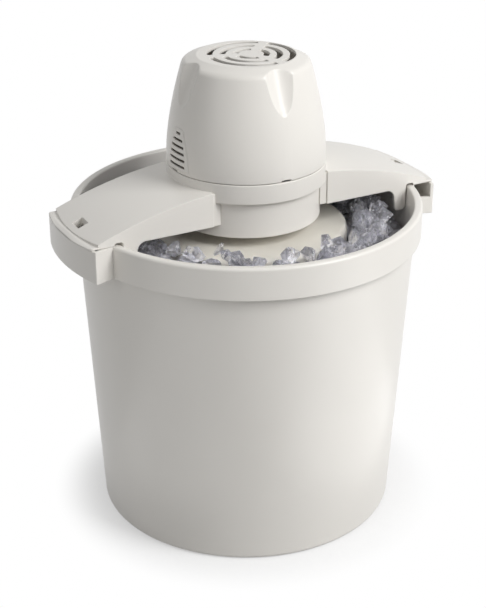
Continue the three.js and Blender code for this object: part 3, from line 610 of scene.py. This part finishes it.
def crosswise(points, half_width, slices=1):
    """An (x, z) outline drawn out along Y to both sides, in a number of slices."""
    mesh = bmesh.new()
    face = mesh.faces.new([mesh.verts.new((x * MM, -half_width * MM, z * MM)) for x, z in points])
    for slice_number in range(slices):
        ahead = drawn_out(mesh, face, (0, 2 * half_width * MM / slices, 0))
        if slice_number > 0:
            bmesh.ops.delete(mesh, geom=[face], context="FACES_ONLY")
        face = ahead
    return facing_out(mesh)


def block(low, high):
    mesh = bmesh.new()
    bmesh.ops.create_cube(mesh, size=1.0)
    size = [(b - a) * MM for a, b in zip(low, high)]
    middle = [(a + b) / 2 * MM for a, b in zip(low, high)]
    bmesh.ops.scale(mesh, verts=mesh.verts, vec=size)
    bmesh.ops.translate(mesh, verts=mesh.verts, vec=middle)
    return mesh


def bevelled(mesh, edges, width, segments):
    bmesh.ops.bevel(
        mesh, geom=edges, offset=width * MM, segments=segments, profile=0.5, affect="EDGES", material=-1,
        clamp_overlap=True,
    )
    return mesh


def sharp(edge):
    """Whether an edge turns by more than a radian."""
    return edge.calc_face_angle(0) > 1


def together(*meshes):
    """Several solids that stand apart, as one mesh."""
    whole = bmesh.new()
    for mesh in meshes:
        data = bpy.data.meshes.new("part")
        mesh.to_mesh(data)
        mesh.free()
        whole.from_mesh(data)
        bpy.data.meshes.remove(data)
    return whole


def as_object(mesh, name="solid"):
    data = bpy.data.meshes.new(name)
    mesh.to_mesh(data)
    mesh.free()
    made = bpy.data.objects.new(name, data)
    scene.collection.objects.link(made)
    return made


def as_mesh(piece):
    """Takes a piece back to its mesh, to be turned or joined to another."""
    mesh = bmesh.new()
    mesh.from_mesh(piece.data)
    bpy.data.objects.remove(piece)
    return mesh


def settle(piece):
    """Makes a piece's modifiers part of its mesh."""
    graph = bpy.context.evaluated_depsgraph_get()
    data = bpy.data.meshes.new_from_object(piece.evaluated_get(graph))
    piece.modifiers.clear()
    old, piece.data = piece.data, data
    bpy.data.meshes.remove(old)


def shape(piece, operation, *meshes):
    """Joins solids to a piece, cuts them from it or keeps what they share with it."""
    for mesh in meshes:
        tool = as_object(mesh)
        step = piece.modifiers.new(operation.lower(), "BOOLEAN")
        step.operation = operation
        step.solver = "EXACT"
        step.object = tool
        settle(piece)
        bpy.data.objects.remove(tool)
    return piece


def smooth(piece, crease=28.0):
    """Shades a piece smoothly, apart from edges that turn by more than an angle in degrees."""
    mesh = bmesh.new()
    mesh.from_mesh(piece.data)
    merged(mesh, 2e-6, 1e-6)
    for face in mesh.faces:
        face.smooth = True
    for edge in mesh.edges:
        edge.smooth = edge.calc_face_angle(0.0) < math.radians(crease)
    mesh.to_mesh(piece.data)
    mesh.free()
    weighted = piece.modifiers.new("even_shading", "WEIGHTED_NORMAL")
    weighted.keep_sharp = True
    settle(piece)


def finished(piece, name, body, finish, slot, *nodes):
    """Names a piece, gives it its finish, hangs it on the body that it rides on and hides the nodes that it
    stands for.
    """
    piece.name = name
    piece.data.name = name
    piece.data.materials.clear()
    piece.data.materials.append(finish)
    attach(piece, body)
    if nodes:
        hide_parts(*nodes)


# Ice bucket

def body_radius(height):
    """The bucket's outer radius at a height."""
    return BASE_RADIUS + (MOUTH_RADIUS + BUCKET_WALL - BASE_RADIUS) * height / RIM_TOP


def bracket():
    edge = outline(*box(COLLAR_RADIUS - 1.2, BRACKET_RADIUS, COLLAR_BOTTOM, RIM_TOP))
    solid = sector(edge, -BRACKET_HALF_ANGLE, BRACKET_HALF_ANGLE, 20)
    clear_of_collar = 150 * MM
    rim = [e for e in solid.edges if sharp(e) and min(v.co.xy.length for v in e.verts) > clear_of_collar]
    return bevelled(solid, rim, BRACKET_CORNER, 3)


def bracket_cut(bottom, start, end, steps):
    inside = BRACKET_RADIUS - BRACKET_WALL
    return sector(box(COLLAR_RADIUS, inside, bottom, RIM_TOP + 5), start, end, steps)


def bucket():
    foot_inner = BASE_RADIUS - STANDING_RING
    pocket_end = BRACKET_HALF_ANGLE - BRACKET_END
    shell = as_object(turned(outline(
        (0, BASE_RECESS),
        (foot_inner, BASE_RECESS),
        (foot_inner + 0.8, 0),
        (BASE_RADIUS + 0.1, 0, 4),
        (body_radius(COLLAR_ROOF), COLLAR_ROOF, 0.6),
        (COLLAR_INNER, COLLAR_ROOF, 0.6),
        (COLLAR_INNER, COLLAR_BOTTOM, 0.5),
        (COLLAR_RADIUS, COLLAR_BOTTOM, 0.8),
        (COLLAR_RADIUS, RIM_TOP, 2.4),
        (MOUTH_RADIUS, RIM_TOP, 1.6),
        (body_radius(BUCKET_FLOOR) - BUCKET_WALL, BUCKET_FLOOR, 6),
        (PIVOT_RADIUS, BUCKET_FLOOR, 1),
        (PIVOT_RADIUS, PIVOT_TOP, 1),
        (0, PIVOT_TOP),
    )))
    for side in SIDES:
        shape(shell, "UNION", spun(bracket(), side))
    for side in SIDES:
        pocket = bracket_cut(COLLAR_BOTTOM + BRACKET_WALL, -pocket_end, pocket_end, 20)
        notch = bracket_cut(NOTCH_BOTTOM, *NOTCH_ANGLES, 4)
        shape(shell, "DIFFERENCE", spun(pocket, side), spun(notch, side))
        shape(shell, "UNION", spun(block(KEEPER_LOW, KEEPER_HIGH), side))
    smooth(shell)
    finished(shell, "bucket_shell", "bucket", plastic, "housing", "ice_bucket")


# Can and lid

def can():
    dimple_foot = DIMPLE_RADIUS + DIMPLE_DRAFT
    bead_bottom, bead_top = CAN_BEAD
    shell = as_object(turned(outline(
        (0, DIMPLE_TOP),
        (DIMPLE_RADIUS, DIMPLE_TOP, 1.5),
        (dimple_foot, CAN_BOTTOM, 1.2),
        (CAN_FLOOR_RADIUS, CAN_BOTTOM, 3),
        (CAN_RIM_RADIUS, CAN_NECK, 1),
        (CAN_BEAD_RADIUS, bead_bottom, 1),
        (CAN_BEAD_RADIUS, bead_top, 1),
        (CAN_RIM_RADIUS, CAN_TOP, 0.8),
        (CAN_RIM_RADIUS - CAN_SHEET, CAN_TOP, 0.3),
        (CAN_FLOOR_RADIUS - CAN_SHEET, CAN_BOTTOM + CAN_SHEET, 2.4),
        (dimple_foot + CAN_SHEET, CAN_BOTTOM + CAN_SHEET, 1.2),
        (DIMPLE_RADIUS + 0.7 * CAN_SHEET, DIMPLE_TOP + CAN_SHEET, 1),
        (0, DIMPLE_TOP + CAN_SHEET),
    )))
    smooth(shell)
    finished(shell, "can_shell", "can", can_metal, "can", "canister")


def lid():
    rib_inner, rib_outer = SEALING_RIB
    disc = as_object(turned(outline(
        (LID_HOLE, LID_UNDER, 0.3),
        (LID_HOLE, LID_TOP, 0.7),
        (LID_RADIUS, LID_TOP, 5),
        (LID_RADIUS, LID_SKIRT, 0.8),
        (LID_RADIUS - HOUSING_WALL, LID_SKIRT, 0.6),
        (LID_RADIUS - HOUSING_WALL, LID_UNDER, 2.6),
        (rib_outer, LID_UNDER, 0.4),
        (rib_outer, SEALING_RIB_BOTTOM, 0.5),
        (rib_inner, SEALING_RIB_BOTTOM, 0.5),
        (rib_inner, LID_UNDER, 0.4),
    )))
    half = ARCH_WIDTH / 2
    below, top = LID_SKIRT - 3, LID_SKIRT + ARCH_HEIGHT
    edge = outline((-half, below), (half, below), (half, top, ARCH_CORNER), (-half, top, ARCH_CORNER))
    for i in range(4):
        arch = moved(crosswise(edge, ARCH_DEPTH), y=-LID_RADIUS)
        shape(disc, "DIFFERENCE", spun(arch, ARCH_ANGLE + 90 * i))
    inner, outer = DOG
    bottom, top = DOG_HEIGHTS
    edge = outline((inner, bottom), (outer, bottom), (outer, top, 0.8), (inner, top, 0.8))
    for side in SIDES:
        dog = sector(edge, -DOG_HALF_ANGLE, DOG_HALF_ANGLE, 10)
        shape(disc, "UNION", spun(dog, side))
    smooth(disc)
    finished(disc, "can_lid", "lid", lid_plastic, "lid", "canister_lid")


# Ice

def near_wing(angle):
    turn = math.degrees(angle) % 180
    after, before = WING_ANGLES
    return turn < after or turn > 180 - before


def lump(heap, chance, angle, radius, height, size):
    """Adds a broken lump, moved clear of the bucket and the lid."""
    reach = body_radius(height) - BUCKET_WALL - LUMP_CLEARANCE
    if radius + size > reach:
        radius = reach - size
    radius = max(radius, LID_RADIUS + LID_CLEARANCE + size)
    middle = Vector((radius * math.cos(angle), radius * math.sin(angle), height)) * MM
    turn = Matrix.Rotation(chance.uniform(0, 3.1), 3, Vector([chance.uniform(-1, 1) for _ in range(3)]))
    stretch = [chance.uniform(LUMP_FLATNESS, 1.0) for _ in range(3)]
    points = []
    for _ in range(chance.randint(*LUMP_CORNERS)):
        way = Vector([chance.gauss(0, 1) for _ in range(3)]).normalized()
        spot = Vector([
            a * b * size * MM * chance.uniform(LUMP_UNEVENNESS, 1.0) for a, b in zip(way, stretch)
        ])
        points.append(heap.verts.new(middle + turn @ spot))
    made = bmesh.ops.convex_hull(heap, input=points)
    spare = {v for v in made["geom_interior"] + made["geom_unused"] if isinstance(v, bmesh.types.BMVert)}
    bmesh.ops.delete(heap, geom=list(spare), context="VERTS")


def ice():
    """Broken ice heaped in the ring between the can and the bucket, over a lumpy bed of the same."""
    chance = random.Random(7)
    heap = bmesh.new()
    inner = body_radius(ICE_FLOOR) - BUCKET_WALL
    for count, low, high, small, large, inside, outside in ICE_LAYERS:
        for i in range(count):
            angle = 2 * math.pi * (i + chance.uniform(-0.4, 0.4)) / count
            size = chance.uniform(small, large)
            height = chance.uniform(low, high)
            radius = BED_INNER + (inner - BED_INNER) * chance.uniform(inside, outside)
            swept = near_wing(angle)
            if swept and radius + size > FOOT_SWEEP and height + size > FOOT_SWEEP_BOTTOM:
                radius = FOOT_SWEEP - 1 - size
            height = min(height, (TOP_BY_WING if swept else TOP_ELSEWHERE) - size)
            lump(heap, chance, angle, radius, height, size)
    finished(as_object(heap), "ice_pieces", "bucket", ice_finish, None)

    bed = turned([
        (BED_INNER, ICE_FLOOR),
        (inner - 1, ICE_FLOOR),
        (body_radius(BED_TOP) - BUCKET_WALL - 1, BED_TOP),
        (111, BED_TOP + 2),
        (BED_INNER, BED_TOP),
    ])
    bmesh.ops.subdivide_edges(bed, edges=bed.edges, cuts=3, use_grid_fill=True)
    near, far = BED_ROUGH
    for v in bed.verts:
        if v.co.z > 200 * MM and near * MM < v.co.xy.length < far * MM:
            v.co.z += BED_ROUGHNESS * MM * noise.noise(v.co * 70)
    finished(as_object(bed), "ice_bed", "bucket", bed_finish, None)


# Head housing

def wing_top(x):
    out = max(0.0, abs(x) - WING_ARC_START)
    return WING_ARC_CENTRE + math.sqrt(WING_ARC ** 2 - out ** 2)


def crowned(mesh):
    """Lowers a wing's top towards its long edges."""
    for v in mesh.verts:
        if v.co.z > CROWN_FROM * MM:
            v.co.z -= WING_CROWN * MM * (v.co.y / (WING_HALF * MM)) ** 2
    return mesh


def wing_plan(half_width, radius, corner):
    """The wing's plan: straight sides and a round end about the bucket's axis."""
    last = math.degrees(math.asin(half_width / radius))
    end = radius * math.cos(math.radians(last))
    side = outline((WING_START, -half_width), (end, -half_width, corner), (radius, -half_width / 2))[:-1]
    trim = math.degrees(corner / radius) * 1.1
    arc = []
    for step in range(25):
        angle = math.radians(-last + trim + (2 * last - 2 * trim) * step / 24)
        arc.append((radius * math.cos(angle), radius * math.sin(angle)))
    return side + arc + [(x, -y) for x, y in reversed(side)]


def wing_line():
    """The wing's top as (x, z) points, from the tip inwards."""
    xs = [WING_START + (WING_REACH - WING_START) * i / 32 for i in range(33)]
    return [(x, wing_top(x)) for x in reversed(xs)]


def rim_room():
    """The room under a wing's end for the bucket's rim and bracket."""
    outer, top = RIM_ROOM
    inwards, upwards = FOOT_CHAMFER
    below = 250
    return turned(outline(
        (133.5, below),
        (FOOT_RADIUS - inwards, FOOT_BOTTOM),
        (FOOT_RADIUS, FOOT_BOTTOM + upwards, 2.4),
        (FOOT_RADIUS, top, 2.0),
        (outer, top, 1.6),
        (outer + 0.3, TIP_UNDER),
        (BEYOND, TIP_UNDER),
        (BEYOND, below),
    ))


def wing_hollow():
    roof = [(x, z - WING_SKIN) for x, z in wing_line() if x < HOLLOW_REACH]
    hollow = crosswise([(WING_START, BELOW), (HOLLOW_REACH, BELOW)] + roof, WING_HALF - HOUSING_WALL, 12)
    piece = as_object(crowned(hollow))
    plan = wing_plan(WING_HALF - HOUSING_WALL, FOOT_RADIUS - HOUSING_WALL, 0)
    shape(piece, "INTERSECT", upright(plan, BELOW - 10, ABOVE))
    return as_mesh(piece)


def wing():
    """The wing towards +X, hollow, with its foot, lip, window and lock tongue."""
    crest = [p for p in wing_line() if p[0] > WING_ROOT] + [(WING_ROOT, wing_top(WING_ROOT))]
    side = outline(
        (WING_ROOT, SIDE_BOTTOM),
        (FOOT_START, SIDE_BOTTOM, 7.5),
        (FOOT_START, FOOT_BOTTOM + 10),
        (FOOT_START + FOOT_DRAFT, FOOT_BOTTOM, 2.4),
        (WING_REACH, FOOT_BOTTOM),
    )
    made = as_object(crowned(crosswise(side + crest, WING_HALF + 2, 16)))
    shape(made, "INTERSECT", upright(wing_plan(WING_HALF, TIP_RADIUS, TIP_CORNER), BELOW, ABOVE))
    lip = turned([(LIP_RADIUS, LIP_TOP), (BEYOND, LIP_TOP - LIP_FALL), (BEYOND, ABOVE), (LIP_RADIUS, ABOVE)])
    near, far, half = WINDOW
    window = outline(*[(x, y, 0.8) for x, y in box(near, far, -half, half)])
    shape(made, "DIFFERENCE", rim_room(), lip, wing_hollow(), upright(window, BELOW, ABOVE))
    inner, outer = TONGUE
    bottom, root = TONGUE_HEIGHTS
    tongue = moved(crosswise(box(inner, outer, bottom, root), TONGUE_HALF), y=TONGUE_PLACE)
    barb = block((inner, TONGUE_PLACE - TONGUE_HALF, bottom), (outer, BARB_END, BARB_TOP))
    shape(made, "UNION", tongue, barb)
    start, end = LINK
    bottom, top = LINK_HEIGHTS
    for left, right in ((-WING_HALF + 1, -LINK_INNER), (LINK_INNER, WING_HALF - 1)):
        shape(made, "UNION", block((start, left, bottom), (end, right, top)))
    return as_mesh(made)


def screw_posts(bottom, top):
    posts = []
    for angle in SCREW_ANGLES:
        profile = [(0, bottom), (BOSS_RADIUS, bottom), (BOSS_RADIUS, top), (0, top)]
        posts.append(spun(turned(profile, 32, (SCREW_CIRCLE, 0)), angle))
    return together(*posts)


def screw_webs(bottom, top, half_web, reach):
    """A web behind each screw post, out to the wall."""
    webs = []
    for angle in SCREW_ANGLES:
        webs.append(spun(block((SCREW_CIRCLE, -half_web, bottom), (reach, half_web, top)), angle))
    return together(*webs)


def screw_bores(bottom, top):
    bores = []
    for angle in SCREW_ANGLES:
        profile = [(0, bottom), (SCREW_HOLE, bottom), (SCREW_HOLE, top), (0, top)]
        bores.append(spun(turned(profile, 24, (SCREW_CIRCLE, 0)), angle))
    return together(*bores)


def housing():
    drum_inner = DRUM_RADIUS - HOUSING_WALL
    ring_inner = RING_RADIUS - HOUSING_WALL
    shell = as_object(turned(outline(
        (drum_inner, DRUM_BOTTOM, 0.4),
        (DRUM_RADIUS, DRUM_BOTTOM, 1.0),
        (DRUM_RADIUS, RING_BOTTOM, 0.5),
        (RING_RADIUS, RING_BOTTOM, 0.9),
        (RING_RADIUS, RING_TOP, 0.7),
        (ring_inner, RING_TOP, 0.3),
        (ring_inner, SHELF_TOP, 0.3),
        (drum_inner, SHELF_TOP, 0.3),
    )))
    for side in SIDES:
        room = turned([
            (0, 255),
            (drum_inner + LOOSE, 255),
            (drum_inner + LOOSE, SHELF_TOP - LOOSE),
            (ring_inner + LOOSE, SHELF_TOP - LOOSE),
            (ring_inner + LOOSE, ABOVE),
            (0, ABOVE),
        ])
        limb = as_object(spun(wing(), side))
        shape(limb, "DIFFERENCE", room)
        shape(shell, "UNION", as_mesh(limb))
    bottom = GEARCASE_FLOOR + BOSS_CLEARANCE
    webs = screw_webs(bottom, SHELF_TOP, HOUSING_WALL, drum_inner + WEB_BITE)
    shape(shell, "UNION", screw_posts(bottom, SHELF_TOP), webs)
    shape(shell, "DIFFERENCE", screw_bores(GEARCASE_FLOOR - 2, SHELF_TOP + 2))
    smooth(shell)
    finished(shell, "head_housing", "head", plastic, "housing", "bridge_housing")


# Motor cover

def bend(first, pull, last, steps):
    """Points on a curve from one point to another, drawn out towards a third."""
    a, b, c = Vector(first), Vector(pull), Vector(last)
    shares = [i / steps for i in range(steps + 1)]
    return [a * (1 - t) ** 2 + 2 * b * t * (1 - t) + c * t * t for t in shares]


def cover_line():
    """The cover's outer line from its foot over its shoulder to its flat top."""
    side = bend((COVER_RADIUS, COVER_BOTTOM), COVER_BULGE, (SHOULDER_RADIUS, SHOULDER_HEIGHT), 56)
    corner = Vector((SHOULDER_RADIUS - SHOULDER_LEAN * CORNER_RISE, SHOULDER_HEIGHT + CORNER_RISE))
    crest = Vector((TOP_FLAT, COVER_TOP))
    landing = corner.lerp(crest, SHOULDER_END)
    shoulder = bend((SHOULDER_RADIUS, SHOULDER_HEIGHT), corner, landing, 10)
    slope = [landing.lerp(crest, i / 8) for i in range(1, 9)]
    return [(p.x, p.y) for p in side + shoulder[1:] + slope]


def inner_line(ceiling):
    """The cover's outer line set in by its wall, up to the ceiling."""
    outer = cover_line()
    line = [(COVER_RADIUS - COVER_WALL, COVER_BOTTOM)]
    for (r0, z0), (r1, z1) in zip(outer, outer[1:]):
        along = Vector((r1 - r0, z1 - z0)).normalized()
        height = z0 + COVER_WALL * along.x
        if z0 > COVER_BOTTOM + 1 and height < ceiling - 0.3:
            line.append((r0 - COVER_WALL * along.y, height))
    return line


def radius_at(line, height):
    """The radius of an outer line at a height between its points."""
    for (r0, z0), (r1, z1) in zip(line, line[1:]):
        if z0 <= height <= z1:
            return r0 + (r1 - r0) * (height - z0) / max(z1 - z0, 1e-6)
    return line[-1][0]


def drawn_in(off, half):
    """Draws the mesh round a flute into it and stretches the rest, in degrees off its middle."""
    quarter = 45
    if abs(off) <= FLUTE_SPREAD:
        return off * (half / FLUTE_SPREAD)
    rest = (abs(off) - FLUTE_SPREAD) * (quarter - half) / (quarter - FLUTE_SPREAD)
    return math.copysign(half + rest, off)


def fluted(mesh):
    """Presses four flutes into the cover's shoulder, with the mesh drawn together at their edges."""
    line = cover_line()
    for v in mesh.verts:
        radius, height = v.co.xy.length / MM, v.co.z / MM
        if radius < 1:
            continue
        angle = math.degrees(math.atan2(v.co.y, v.co.x))
        middle = 90 * round(angle / 90)
        rise = min(max((height - FLUTE_BOTTOM) / FLUTE_RISE, 0), FLUTE_OVERRUN)
        half = max(FLUTE_LEAST_ANGLE, FLUTE_HALF_ANGLE * rise ** FLUTE_FLARE)
        off = drawn_in(angle - middle, half)
        side = radius_at(line, height)
        wall = COVER_WALL + 0.1 if radius < side - WALL_SPLIT else 0
        if height > SHOULDER_HEIGHT:
            side = SHOULDER_RADIUS - SHOULDER_LEAN * (height - SHOULDER_HEIGHT)
        floor = side - wall - FLUTE_DEPTH * rise ** 0.5 * max(0, 1 - (off / half) ** 2)
        if abs(off) < half:
            radius = min(radius, floor)
        turn = math.radians(middle + off + FLUTE_TURN)
        v.co.x = radius * math.cos(turn) * MM
        v.co.y = radius * math.sin(turn) * MM
    return mesh


def lies_at(edge, height):
    return all(abs(v.co.z - height * MM) < 1e-6 for v in edge.verts)


def one_face(mesh, height):
    """Makes the flat at a height one face."""
    inside = [e for e in mesh.edges if lies_at(e, height) and e.calc_face_angle(1) < 1e-3]
    bmesh.ops.dissolve_edges(mesh, edges=inside, use_verts=True)
    return mesh


def grille_slots():
    """Three broken rings of slots with rounded ends."""
    slots = []
    bottom, top = COVER_TOP - 8, COVER_TOP + 3
    for inside, outside in SLOT_RINGS:
        trim = math.degrees(math.asin(SPOKE_WIDTH / (inside + outside)))
        for angle in SPOKE_ANGLES:
            slot = sector(box(inside, outside, bottom, top), angle + trim, angle + 120 - trim, 20)
            ends = []
            for edge in slot.edges:
                low, high = sorted(v.co.z for v in edge.verts)
                if sharp(edge) and high - low > MM:
                    ends.append(edge)
            slots.append(moved(bevelled(slot, ends, SLOT_CORNER, 4), *GRILLE_CENTRE))
    return together(*slots)


def rounded_rims(piece, height, radius):
    """Rounds the edges of the openings in a flat top."""
    mesh = bmesh.new()
    mesh.from_mesh(piece.data)
    merged(mesh, 1e-6, 1e-6)
    rims = [e for e in mesh.edges if sharp(e) and lies_at(e, height)]
    bevelled(mesh, rims, radius, 3)
    mesh.to_mesh(piece.data)
    mesh.free()


def vent_panel(outside, inside):
    """The bell-shaped part of the wall that the vents stand in, on the side towards +X."""
    low, high = PANEL_HEIGHTS
    line = [(r, z) for r, z in cover_line() if low < z < high]
    profile = [(r + outside, z) for r, z in line] + [(r - inside, z) for r, z in reversed(line)]
    panel = as_object(sector(profile, -PANEL_HALF_ANGLE, PANEL_HALF_ANGLE, 24))
    bell = outline(*PANEL_EDGE, *[(-x, z, r) for x, z, r in reversed(PANEL_EDGE)])
    shape(panel, "INTERSECT", spun(moved(crosswise(bell, 20), y=-VENT_PLACE), 90))
    return as_mesh(panel)


def vent_slots():
    slots = []
    corner = VENT_HEIGHT / 2 - 0.05
    for i, width in enumerate(VENT_WIDTHS):
        low = VENT_BOTTOM + VENT_PITCH * i
        edge = outline(*[(x, z, corner) for x, z in box(-width / 2, width / 2, low, low + VENT_HEIGHT)])
        slots.append(spun(moved(crosswise(edge, 9), y=-VENT_PLACE), 90))
    return together(*slots)


def cord_inlet():
    bore = turned([(0, -10), (CORD_HOLE, -10), (CORD_HOLE, 10), (0, 10)], 32)
    across = Matrix.Rotation(math.pi / 2, 3, "X")
    bmesh.ops.rotate(bore, verts=bore.verts, cent=(0, 0, 0), matrix=across)
    return moved(bore, y=CORD_PLACE, z=CORD_HEIGHT)


def cover():
    ceiling = COVER_TOP - COVER_WALL
    inner = inner_line(ceiling)
    crown = [(0, COVER_TOP), (0, ceiling), (inner[-1][0] - CEILING_CORNER, ceiling)]
    mesh = fluted(turned(cover_line() + crown + inner[::-1]))
    shell = as_object(one_face(one_face(mesh, COVER_TOP), ceiling))
    for side in SIDES:
        shape(shell, "UNION", spun(vent_panel(PANEL_RELIEF, PANEL_SKIN), side + VENT_TURN))
        shape(shell, "DIFFERENCE", spun(vent_panel(-PANEL_SKIN, PANEL_BACK), side + VENT_TURN))
    shape(shell, "DIFFERENCE", grille_slots())
    rounded_rims(shell, COVER_TOP, SLOT_RIM)
    for side in SIDES:
        shape(shell, "DIFFERENCE", spun(vent_slots(), side + VENT_TURN))
    shape(shell, "DIFFERENCE", cord_inlet())
    half_web = COVER_WALL / 2
    lower_reach = RING_RADIUS - HOUSING_WALL - WEB_CLEARANCE
    upper_webs = screw_webs(UPPER_WEB_BOTTOM, BOSS_TOP, half_web, UPPER_WEB_REACH)
    lower_webs = screw_webs(BOSS_BOTTOM, BOSS_TOP, half_web, lower_reach)
    shape(shell, "UNION", upper_webs, screw_posts(BOSS_BOTTOM, BOSS_TOP), lower_webs)
    shape(shell, "DIFFERENCE", screw_bores(BOSS_BOTTOM - 2, BORE_TOP))
    smooth(shell, crease=32)
    finished(shell, "motor_cover_shell", "head", plastic, "housing", "motor_cover")


# Studio

def area_lamp(name, width, height, power):
    data = bpy.data.lights.new(name, "AREA")
    data.shape = "RECTANGLE"
    data.size = width
    data.size_y = height
    data.energy = power
    return bpy.data.objects.new(name, data)


def soft_box(name, azimuth, elevation, distance, width, height, power):
    """A lamp that faces the object."""
    aimed(area_lamp(name, width, height, power), LIGHT_CENTRE, direction(azimuth, elevation), distance)


def reflector(name, azimuth, width, power):
    """A strip of light that lies on the floor and shows in the gloss alone."""
    lamp = area_lamp(name, width, 1.0, power)
    lamp.location = direction(azimuth, 0) * REFLECTOR_DISTANCE + Vector((0, 0, REFLECTOR_HEIGHT))
    lamp.rotation_euler = (math.pi, 0, math.radians(azimuth))
    lamp.visible_camera = False
    lamp.visible_diffuse = False
    lamp.visible_transmission = False
    scene.collection.objects.link(lamp)


def surroundings():
    """White where they are seen, and softer where they light."""
    world = bpy.data.worlds.new("studio")
    nodes = Nodes(world)
    soft = nodes.node("Background", None, {"Color": WHITE, "Strength": SOFT_LIGHT})
    white = nodes.node("Background", None, {"Color": WHITE, "Strength": 1.0})
    mix = nodes.mixed(nodes.seen(), soft, white)
    nodes.node("OutputWorld", None, {"Surface": mix.outputs[0]})
    scene.world = world


def studio():
    mesh = bmesh.new()
    bmesh.ops.create_grid(mesh, x_segments=1, y_segments=1, size=6)
    floor = as_object(mesh, "studio_floor")
    floor.data.materials.append(floor_paper())
    surroundings()
    soft_box("key", azimuth=33, elevation=38, distance=1.9, width=0.8, height=1.2, power=28.5)
    soft_box("fill", azimuth=-74, elevation=20, distance=2.0, width=0.35, height=1.2, power=2.8)
    reflector("right_reflector", azimuth=37, width=0.4, power=1.7)
    reflector("left_reflector", azimuth=-72, width=0.3, power=1.0)
    scene.view_settings.view_transform = "Standard"


place_camera()
studio()

plastic = moulded_plastic("ivory_plastic", (0.80, 0.775, 0.73), 0.36)
lid_plastic = moulded_plastic("cream_plastic", (0.79, 0.76, 0.69), 0.34)
can_metal = metal("drawn_aluminium", (0.72, 0.73, 0.75), 0.3, streak=(1, 1, 0.03))
ice_finish = clear_ice()
bed_finish = packed_ice()
finishes = {
    "housing": plastic,
    "lid": lid_plastic,
    "can": can_metal,
    "paddle": moulded_plastic("white_plastic", (0.82, 0.81, 0.77), 0.45),
    "acetal": moulded_plastic("natural_acetal", (0.76, 0.75, 0.70), 0.4, edge=0.0003),
    "bobbin": moulded_plastic("bobbin_plastic", (0.72, 0.68, 0.58), 0.5, edge=0.0003),
    "steel": metal("zinc_plated_steel", (0.55, 0.56, 0.58), 0.35),
    "iron": laminated_iron(),
    "copper": copper_wire(),
    "bronze": sintered_bronze(),
    "rubber": moulded_rubber(),
}
for subpart in frame["record"]["subparts"]:
    for held in frame["nodes"][subpart["node"]].material_slots:
        held.material = finishes[subpart["material_slot"]]

bucket()
can()
lid()
ice()
housing()
cover()
